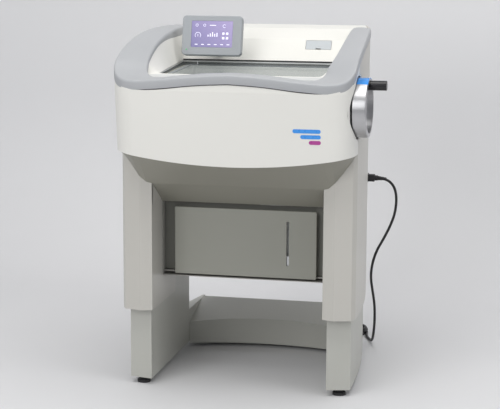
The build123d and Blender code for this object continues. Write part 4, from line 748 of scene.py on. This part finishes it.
# ---------------------------------------------------------------- armrest and well
# top edges of the armrest's right half, from the middle of its bar to its rear end
ARM_OUTER = [(0, -113, 955), (90, -112, 950), (180, -108, 940), (240, -103.5, 934.5), (278, -101, 932),
             (313, -92.5, 935), (335.5, -74.5, 945), (349, -50, 963), (353, -24, 983), (353, 10, 1000),
             (353, 60, 1017), (352, 115, 1031), (349, 180, 1044), (343, 270, 1055), (334, 370, 1059),
             (321.4, 470, 1058)]
ARM_INNER = [(0, -49, 955), (85, -48, 951), (160, -47, 943), (205, -44, 938), (232, -38, 939),
             (249, -28, 945), (258, -14, 954), (262, 0, 965.5), (264.5, 16, 975), (267.5, 36, 983.5),
             (271, 66, 994), (274.5, 112, 1008.5), (276.5, 180, 1027), (275, 270, 1043.5), (270.5, 370, 1055.5),
             (264, 470, 1059)]
ARM_THICKNESS, ARM_ROUNDING, ARM_CROWN, ARM_CHAMFER = 27.0, 7.0, 2.2, (0.6, 2)
# section of the seam: how far in from the outer edge, and how far above the armrest's underside
SEAM_SECTION = ((1.6, 0.5), (1.6, -2.6), (9, -2.6), (9, 0.5))

# right half of the well's upper edge under the armrest, and of its lower edge round the window
WELL_EDGE = [(0, -44, 930), (100, -43, 925), (176, -42, 917), (226, -38, 913), (254, -26, 921),
             (266, -6, 943), (268, 18, 967.5), (272, 50, 980.5), (277, 110, 1000), (278.5, 200, 1023),
             (277, 300, 1039.5), (273.5, 380, 1048), (272, 405, 1049.5), (270, 430, 1050.5), (267, 466, 1051)]
WINDOW_EDGE = [(0, 23, 942), (95, 23, 942), (150, 24, 942), (196, 25, 942), (222, 27, 942), (236, 34, 942.5),
               (239, 52, 943), (241, 84, 944.3), (244, 125, 945.8), (248.5, 205, 948.6), (253.5, 300, 951.9),
               (257, 366, 954.2), (258.2, 391, 959), (255.8, 426, 1036), (253, 466, 1048)]
WELL_SAG, WELL_STEPS = 3.0, 8
WELL_SHEET = 0.0015
# corners of the black seal, which also serves as painted shadow along the opening's rear edge
SLOPE_SEAL = ((-257.5, 386.2, 955.0), (257.5, 389.8, 958.6))


def sweep_armrest(section):
    """A solid along the whole armrest; section gives the points of a cut for its width."""
    half = list(zip(smooth_outline(ARM_OUTER), smooth_outline(ARM_INNER)))
    bm = bmesh.new()
    rings = []
    for side, pairs in ((-1, half[:0:-1]), (1, half)):
        for outer, inner in pairs:
            across = (inner - outer).normalized()
            ring = []
            for along, rise in section((inner - outer).length):
                place = outer + across * along
                ring.append(bm.verts.new(at(side * place.x, place.y, place.z + rise)))
            rings.append(ring)
    join_rings(bm, rings)
    return bm


def arm_section(width):
    """Outside edge, crown, inside edge and underside, in from the outer edge and above it."""
    foot_in, foot_up = ARM_CHAMFER
    turns = [math.radians(a) for a in range(0, 91, 15)]
    points = [(foot_in, -ARM_THICKNESS), (0, foot_up - ARM_THICKNESS)]
    points += [(ARM_ROUNDING * (1 - math.cos(a)), ARM_ROUNDING * (math.sin(a) - 1)) for a in turns]
    points += [(width * t, ARM_CROWN * math.sin(math.pi * t)) for t in (0.2, 0.35, 0.5, 0.65, 0.8)]
    points += [(width - ARM_ROUNDING * (1 - math.sin(a)), ARM_ROUNDING * (math.cos(a) - 1)) for a in turns]
    return points + [(width, foot_up - ARM_THICKNESS), (width - foot_in, -ARM_THICKNESS)]


class CRYOSTAT_OT_armrest(bpy.types.Operator):
    """The armrest as one smooth moulding with rounded edges, and the dark seam under it"""
    bl_idname = "cryostat.armrest"
    bl_label = "Armrest"

    def execute(self, context):
        plastic = moulded("armrest plastic", context.scene.cryostat_colours.armrest, 0.42, 0.25)
        moulding = new_piece("armrest_moulding", sweep_armrest(arm_section), plastic, "cabinet",
                             50.0)
        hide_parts("armrest")
        seam = sweep_armrest(lambda width: [(along, rise - ARM_THICKNESS) for along, rise in SEAM_SECTION])
        new_piece("armrest_seam", seam, soft_rubber("seam rubber", (0.05, 0.05, 0.052)), "cabinet",
                  50.0)
        return {"FINISHED"}


class CRYOSTAT_OT_well(bpy.types.Operator):
    """One moulded funnel from the armrest to the window's frame, and the black seal at the slope's foot, which
    also stands for the shadow line there
    """
    bl_idname = "cryostat.well"
    bl_label = "Well"

    def execute(self, context):
        enamel = painted("well enamel", shade(context.scene.cryostat_colours.cover, 1.02), 0.36)
        half = list(zip(smooth_outline(WELL_EDGE), smooth_outline(WINDOW_EDGE)))
        bm = bmesh.new()
        rows = []
        for side, pairs in ((-1, half[::-1]), (1, half[1:])):
            for top, foot in pairs:
                row = []
                for k in range(WELL_STEPS + 1):
                    share = k / WELL_STEPS
                    # a slightly hollow wall
                    place = top.lerp(foot, share)
                    row.append(bm.verts.new(at(side * place.x, place.y,
                                               place.z - WELL_SAG * math.sin(math.pi * share))))
                rows.append(row)
        for one, two in zip(rows, rows[1:]):
            for k in range(WELL_STEPS):
                bm.faces.new((one[k], two[k], two[k + 1], one[k + 1]))
        bmesh.ops.recalc_face_normals(bm, faces=bm.faces)
        bmesh.ops.solidify(bm, geom=bm.faces[:], thickness=WELL_SHEET)
        lining = new_piece("well_lining", bm, enamel, "cabinet", 50.0)
        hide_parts("well_walls")
        # a black gasket strip that also paints the shadow line along the opening's rear edge
        bm = bmesh.new()
        add_block(bm, *SLOPE_SEAL)
        rubber = soft_rubber("slope seal and painted shadow", (0.012, 0.012, 0.013))
        new_piece("slope_seal", bm, rubber, "cabinet", 0)
        return {"FINISHED"}


# ---------------------------------------------------------------- bay, wheel, legs and rear cover
# the frame behind the drawer's edges: half the drawer, the columns, front and rear face, bottom, top and rail
BAY_HALF, COLUMN_FACE, BAY_FRONT, BAY_REAR, BAY_LOW, BAY_TOP, BAY_RAIL = 208, 253, 150, 151.5, 337, 545, 531
RAIL_GAP = 0.5
# plates that close the corners above the columns: their two faces, their foot and the least height of a top
GUSSET_FACES, GUSSET_FOOT, GUSSET_LEAST = (253.8, 255.2), 556, 561
# their depths, and the height from which the pan above them is felt for
GUSSET_DEPTHS, GUSSET_LOOK_FROM = range(16, 136, 5), 480

# handwheel's middle in depth and height, and the radius and place of its inner disc
WHEEL_CENTRE = (26, 858)
DISC_RINGS = ((71.6, 361.0), (71.2, 363.5), (66, 365.2), (50, 366.8), (34, 367.8), (19, 368.3), (4, 368.6))

# caps in the legs' inner faces: depth and height of their middle, and radius and place of their rings
LEG_CAP = (46.5, 93)
LEG_CAP_RINGS = ((6.0, 266.4), (6.0, 265.0), (5.2, 264.4))

# the head of a cover screw, in shares of its radius: radius and height of its rings, then its socket
SCREW_RINGS = ((1.0, 0.0), (0.99, 0.25), (0.90, 0.42), (0.72, 0.50), (0.50, 0.52))
SCREW_SOCKET, SCREW_TOP, SCREW_FLOOR = 0.42, 0.52, 0.2
# places on the right half of the rear cover: across and height
SCREW_PLACES = ((262, 290), (262, 440), (262, 590), (262, 740), (262, 890), (262, 1010), (130, 1010),
                (130, 290))


def turned(bm, rings, middle, sides, side=1):
    """A turned solid about an axis along X, from the radius and place of its rings."""
    y, z = middle
    join_rings(bm, [[bm.verts.new(at(side * x, y + radius * c, z + radius * s)) for c, s in circle(sides)]
                    for radius, x in rings])


class CRYOSTAT_OT_bay(bpy.types.Operator):
    """A dark frame behind the drawer's edges, as painted shade in the gaps round it, and plates in the corners
    above the columns' inner skins
    """
    bl_idname = "cryostat.bay"
    bl_label = "Bay"

    def execute(self, context):
        colours = context.scene.cryostat_colours
        bm = bmesh.new()
        for side in (-1, 1):
            low, high = sorted((side * BAY_HALF, side * COLUMN_FACE))
            add_block(bm, (low, BAY_FRONT, BAY_LOW), (high, BAY_REAR, BAY_TOP))
        rail = BAY_HALF - RAIL_GAP
        add_block(bm, (-rail, BAY_FRONT, BAY_RAIL), (rail, BAY_REAR, BAY_TOP))
        # the drawer's colour darkened: painted shade in the gaps round the drawer
        dark = painted("bay enamel in painted shade", shade(colours.drawer, 0.55), 0.55)
        new_piece("bay_frame", bm, dark, "cabinet", 0)
        pan = surface_of("belly_pan")
        bm = bmesh.new()
        for side in (-1, 1):
            tops = []
            for y in GUSSET_DEPTHS:
                spot = at(side * sum(GUSSET_FACES) / 2, y, GUSSET_LOOK_FROM)
                hit = pan.ray_cast(spot, Vector((0, 0, 1)), 0.4)[0]
                if hit is not None and hit.z * 1000 > GUSSET_LEAST:
                    tops.append((y, hit.z * 1000 + 1.0))
            for x in (side * face for face in GUSSET_FACES):
                feet = [bm.verts.new(at(x, y, GUSSET_FOOT)) for y, _ in tops]
                heads = [bm.verts.new(at(x, y, z)) for y, z in tops]
                for k in range(len(tops) - 1):
                    bm.faces.new((feet[k], feet[k + 1], heads[k + 1], heads[k]))
        # the gussets take the column colour and its painted shade
        pale = painted("gusset enamel", colours.column, 0.42)
        new_piece("bay_gussets", bm, pale, "cabinet", 0)
        return {"FINISHED"}


class CRYOSTAT_OT_wheel_disc(bpy.types.Operator):
    """The spun disc on the handwheel's inner face"""
    bl_idname = "cryostat.wheel_disc"
    bl_label = "Wheel disc"

    def execute(self, context):
        bm = bmesh.new()
        turned(bm, DISC_RINGS, WHEEL_CENTRE, 72)
        metal = brushed("spun aluminium", (0.62, 0.62, 0.63), 0.36, (40, 4, 4), 0.5)
        new_piece("wheel_disc", bm, metal, "wheel", 50.0)
        return {"FINISHED"}


class CRYOSTAT_OT_leg_caps(bpy.types.Operator):
    """Round caps in the legs' inner faces"""
    bl_idname = "cryostat.leg_caps"
    bl_label = "Leg caps"

    def execute(self, context):
        bm = bmesh.new()
        for side in (-1, 1):
            turned(bm, LEG_CAP_RINGS, LEG_CAP, 24, side)
        plastic = moulded("plug plastic", shade(context.scene.cryostat_colours.leg, 0.92), 0.4)
        new_piece("leg_caps", bm, plastic, "base", 40.0)
        return {"FINISHED"}


class CRYOSTAT_OT_screws(bpy.types.Operator):
    """Button-head screws with a hexagonal socket round the rear cover"""
    bl_idname = "cryostat.screws"
    bl_label = "Cover screws"

    def execute(self, context):
        cover = surface_of("rear_cover")
        spots = []
        for x, z in [(side * wide, z) for side in (-1, 1) for wide, z in SCREW_PLACES]:
            hit, normal, _, _ = cover.ray_cast(at(x, 800, z), Vector((0, -1, 0)), 0.4)
            if hit is not None and normal.y > 0.98:
                spots.append(hit)
        steel = brushed("screw steel", (0.50, 0.51, 0.53), 0.30, (30, 30, 30))
        facing_back = (-math.pi / 2, 0, 0)
        radius = context.scene.cryostat_sizes.screw_radius
        bm = repeated("cover_screws", spots, self.head(), facing_back, radius, steel)
        new_piece("cover_screws", bm, steel, "cabinet")
        return {"FINISHED"}

    def head(self):
        """One head of radius 1."""
        bm = bmesh.new()
        rings = [[bm.verts.new((share * c, share * s, rise)) for c, s in circle(24)]
                 for share, rise in SCREW_RINGS]
        join_rings(bm, rings, capped=False)
        bm.faces.new(rings[0][::-1])
        top = rings[-1]
        socket = [bm.verts.new((SCREW_SOCKET * c, SCREW_SOCKET * s, SCREW_TOP)) for c, s in circle(6)]
        floor = [bm.verts.new((v.co.x, v.co.y, SCREW_FLOOR)) for v in socket]
        for k in range(6):
            after = (k + 1) % 6
            bm.faces.new((*top[4 * k:4 * k + 4], top[(4 * k + 4) % 24], socket[after], socket[k]))
            bm.faces.new((socket[k], socket[after], floor[after], floor[k]))
        bm.faces.new(floor)
        bmesh.ops.recalc_face_normals(bm, faces=bm.faces)
        mesh = bpy.data.meshes.new("screw_head")
        bm.to_mesh(mesh)
        bm.free()
        return mesh


# ---------------------------------------------------------------- panel and screen graphics
# right end of the accent bars, then the height of each one's middle and its length
BARS_RIGHT = 262
BAR_TOP, BAR_MIDDLE, BAR_BOTTOM = (800, 80), (784, 58), (768, 34)
BAR_COLUMNS, BAR_ROWS = 40, 4
# the foil's front face before the hood, and its thickness, in metres
FOIL_PROUD, FOIL_THICKNESS = 0.0003, 0.0005

# the lit marks on the display: offset up from the screen's middle, depth behind its face, and thickness
MARKS_UP, MARKS_BEHIND, MARKS_PROUD, MARKS_THICKNESS = 0.004, 0.0006, 0.0002, 0.0003
# the status lamp: place from the marks' middle and radius
LAMP_LEFT, LAMP_DOWN, LAMP_RADIUS = 0.078, 0.048, 0.0022


class CRYOSTAT_OT_accent_bars(bpy.types.Operator):
    """Three plain rounded bars on the hood, as thin foil that follows its curve"""
    bl_idname = "cryostat.accent_bars"
    bl_label = "Accent bars"

    def execute(self, context):
        colours = context.scene.cryostat_colours
        hood = surface_of("front_panel")
        for name, colour, (middle, length) in (("accent_bar_top", colours.accent, BAR_TOP),
                                               ("accent_bar_middle", colours.accent, BAR_MIDDLE),
                                               ("accent_bar_bottom", colours.accent_two, BAR_BOTTOM)):
            bm = self.bar(hood, middle, length, context.scene.cryostat_sizes.bar_height * 500)
            new_piece(name, bm, self.foil(name, colour), "cabinet", smooth=30)
        return {"FINISHED"}

    def foil(self, name, colour):
        """Satin foil of one colour."""
        f = Finish(name.replace("_", " ") + " foil")
        tone = f.noise(60.0, 3.0)
        f.set(Base_Color=f.mix(tone, shade(colour, 0.95), shade(colour, 1.08)),
              Roughness=(tone * 0.08 + 0.24).clamp())
        return f.material

    def bar(self, hood, middle, length, half):
        """One bar with round ends, half its height given, laid on the hood."""
        bm = bmesh.new()
        grid = []
        for k in range(BAR_COLUMNS + 1):
            along = length * k / BAR_COLUMNS
            inset = min(along, length - along)
            tall = half if inset >= half else math.sqrt(max(half ** 2 - (half - inset) ** 2, 0.01))
            column = []
            for n in range(BAR_ROWS + 1):
                spot = at(BARS_RIGHT - length + along, -300, middle + tall * (2 * n / BAR_ROWS - 1))
                hit = hood.ray_cast(spot, Vector((0, 1, 0)))[0]
                if hit is None:
                    raise RuntimeError("the hood isn't behind the accent bars")
                column.append(bm.verts.new(hit - Vector((0, FOIL_PROUD, 0))))
            grid.append(column)
        for one, two in zip(grid, grid[1:]):
            for n in range(BAR_ROWS):
                bm.faces.new((one[n], two[n], two[n + 1], one[n + 1]))
        thicken(bm, (0, FOIL_THICKNESS, 0))
        return bm


class CRYOSTAT_OT_screen_face(bpy.types.Operator):
    """Plain round and bar marks behind the display's glass, and a lamp beside it"""
    bl_idname = "cryostat.screen_face"
    bl_label = "Screen face"

    def execute(self, context):
        lean = math.radians(SCREEN_LEAN)
        out = Vector((0, -math.cos(lean), math.sin(lean)))
        up = Vector((0, math.sin(lean), math.cos(lean)))
        centre = at(*SCREEN_CENTRE) + up * MARKS_UP - out * MARKS_BEHIND
        self.marks(centre, up, out)
        self.lamp(centre - Vector((LAMP_LEFT, 0, 0)) - up * LAMP_DOWN + out * MARKS_BEHIND, out)
        return {"FINISHED"}

    def marks(self, centre, up, out):
        """A row of plain marks, a gauge, a set of level bars and two rows of keys, in millimetres."""
        f = Finish("pale display mark")
        pale = f.mix(f.noise(30.0), (0.72, 0.70, 0.90), (0.86, 0.85, 0.97))
        f.set(Base_Color=pale, Roughness=0.2, Emission_Color=pale, Emission_Strength=0.35)
        bm = bmesh.new()

        def plate(outline):
            bm.faces.new([bm.verts.new(centre + out * MARKS_PROUD + Vector((x / 1000, 0, 0)) + up * (y / 1000))
                          for x, y in outline])

        def bar(x, y, wide, high):
            plate([(x - wide / 2, y - high / 2), (x + wide / 2, y - high / 2), (x + wide / 2, y + high / 2),
                   (x - wide / 2, y + high / 2)])

        def ring(x, y, radius, width, start=0, end=360, sides=28):
            turns = [math.radians(start + (end - start) * k / sides) for k in range(sides + 1)]
            inner, outer = ([(x + r * math.cos(a), y + r * math.sin(a)) for a in turns]
                            for r in (radius - width, radius))
            for k in range(sides):
                plate([inner[k], outer[k], outer[k + 1], inner[k + 1]])

        for x in (-48, -24):
            ring(x, 27, 4.2, 1.1)
        bar(2, 27, 20, 2.2)
        ring(38, 25, 5.2, 1.2, 40, 320)
        ring(-44, -4, 9.5, 1.3, -40, 220)
        bar(-44, -4, 1.4, 8)
        for k, high in enumerate((6, 10, 14, 9, 12)):
            bar(-12 + k * 7, -8 + high / 2, 3.2, high)
        for x in (36, 48):
            for y in (-12, 2):
                bar(x, y, 7, 7)
        for x in (-48, -28, -8, 12, 32, 52):
            bar(x, -32, 9, 2.4)
        thicken(bm, out * -MARKS_THICKNESS)
        new_piece("display_marks", bm, f.material, "screen", smooth=0)

    def lamp(self, place, out):
        """A small green status lamp under the display's left corner."""
        bm = bmesh.new()
        turn = out.to_track_quat("Z", "Y").to_matrix().to_4x4()
        bmesh.ops.create_uvsphere(bm, u_segments=20, v_segments=10, radius=LAMP_RADIUS,
                                  matrix=Matrix.Translation(place) @ turn @ Matrix.Diagonal((1, 1, 0.5, 1)))
        f = Finish("green lamp")
        f.set(Base_Color=f.mix(f.noise(80.0), (0.10, 0.55, 0.20), (0.20, 0.75, 0.30)), Roughness=0.2)
        new_piece("status_lamp", bm, f.material, "screen")


# ---------------------------------------------------------------- panel
class CRYOSTAT_PT_panel(bpy.types.Panel):
    """Lists the steps that dress the model"""
    bl_idname = "CRYOSTAT_PT_panel"
    bl_label = "Cryostat"
    bl_space_type = "VIEW_3D"
    bl_region_type = "UI"
    bl_category = "Cryostat"

    def draw(self, context):
        for settings in (context.scene.cryostat_colours, context.scene.cryostat_sizes):
            for name in settings.__annotations__:
                self.layout.prop(settings, name)
        for operator in STEPS:
            self.layout.operator(operator.bl_idname)


STEPS = (CRYOSTAT_OT_stage, CRYOSTAT_OT_mains_cord, CRYOSTAT_OT_finishes, CRYOSTAT_OT_armrest,
         CRYOSTAT_OT_well, CRYOSTAT_OT_bay, CRYOSTAT_OT_wheel_disc, CRYOSTAT_OT_leg_caps, CRYOSTAT_OT_screws,
         CRYOSTAT_OT_accent_bars, CRYOSTAT_OT_screen_face)
CLASSES = (CryostatColours, CryostatSizes) + STEPS + (CRYOSTAT_PT_panel,)


def register():
    for cls in CLASSES:
        bpy.utils.register_class(cls)
    bpy.types.Scene.cryostat_colours = PointerProperty(type=CryostatColours)
    bpy.types.Scene.cryostat_sizes = PointerProperty(type=CryostatSizes)


def unregister():
    del bpy.types.Scene.cryostat_sizes
    del bpy.types.Scene.cryostat_colours
    for cls in reversed(CLASSES):
        bpy.utils.unregister_class(cls)


def main():
    register()
    for operator in STEPS:
        group, name = operator.bl_idname.split(".")
        getattr(getattr(bpy.ops, group), name)()
    bpy.context.view_layer.update()


if __name__ == "__main__":
    main()
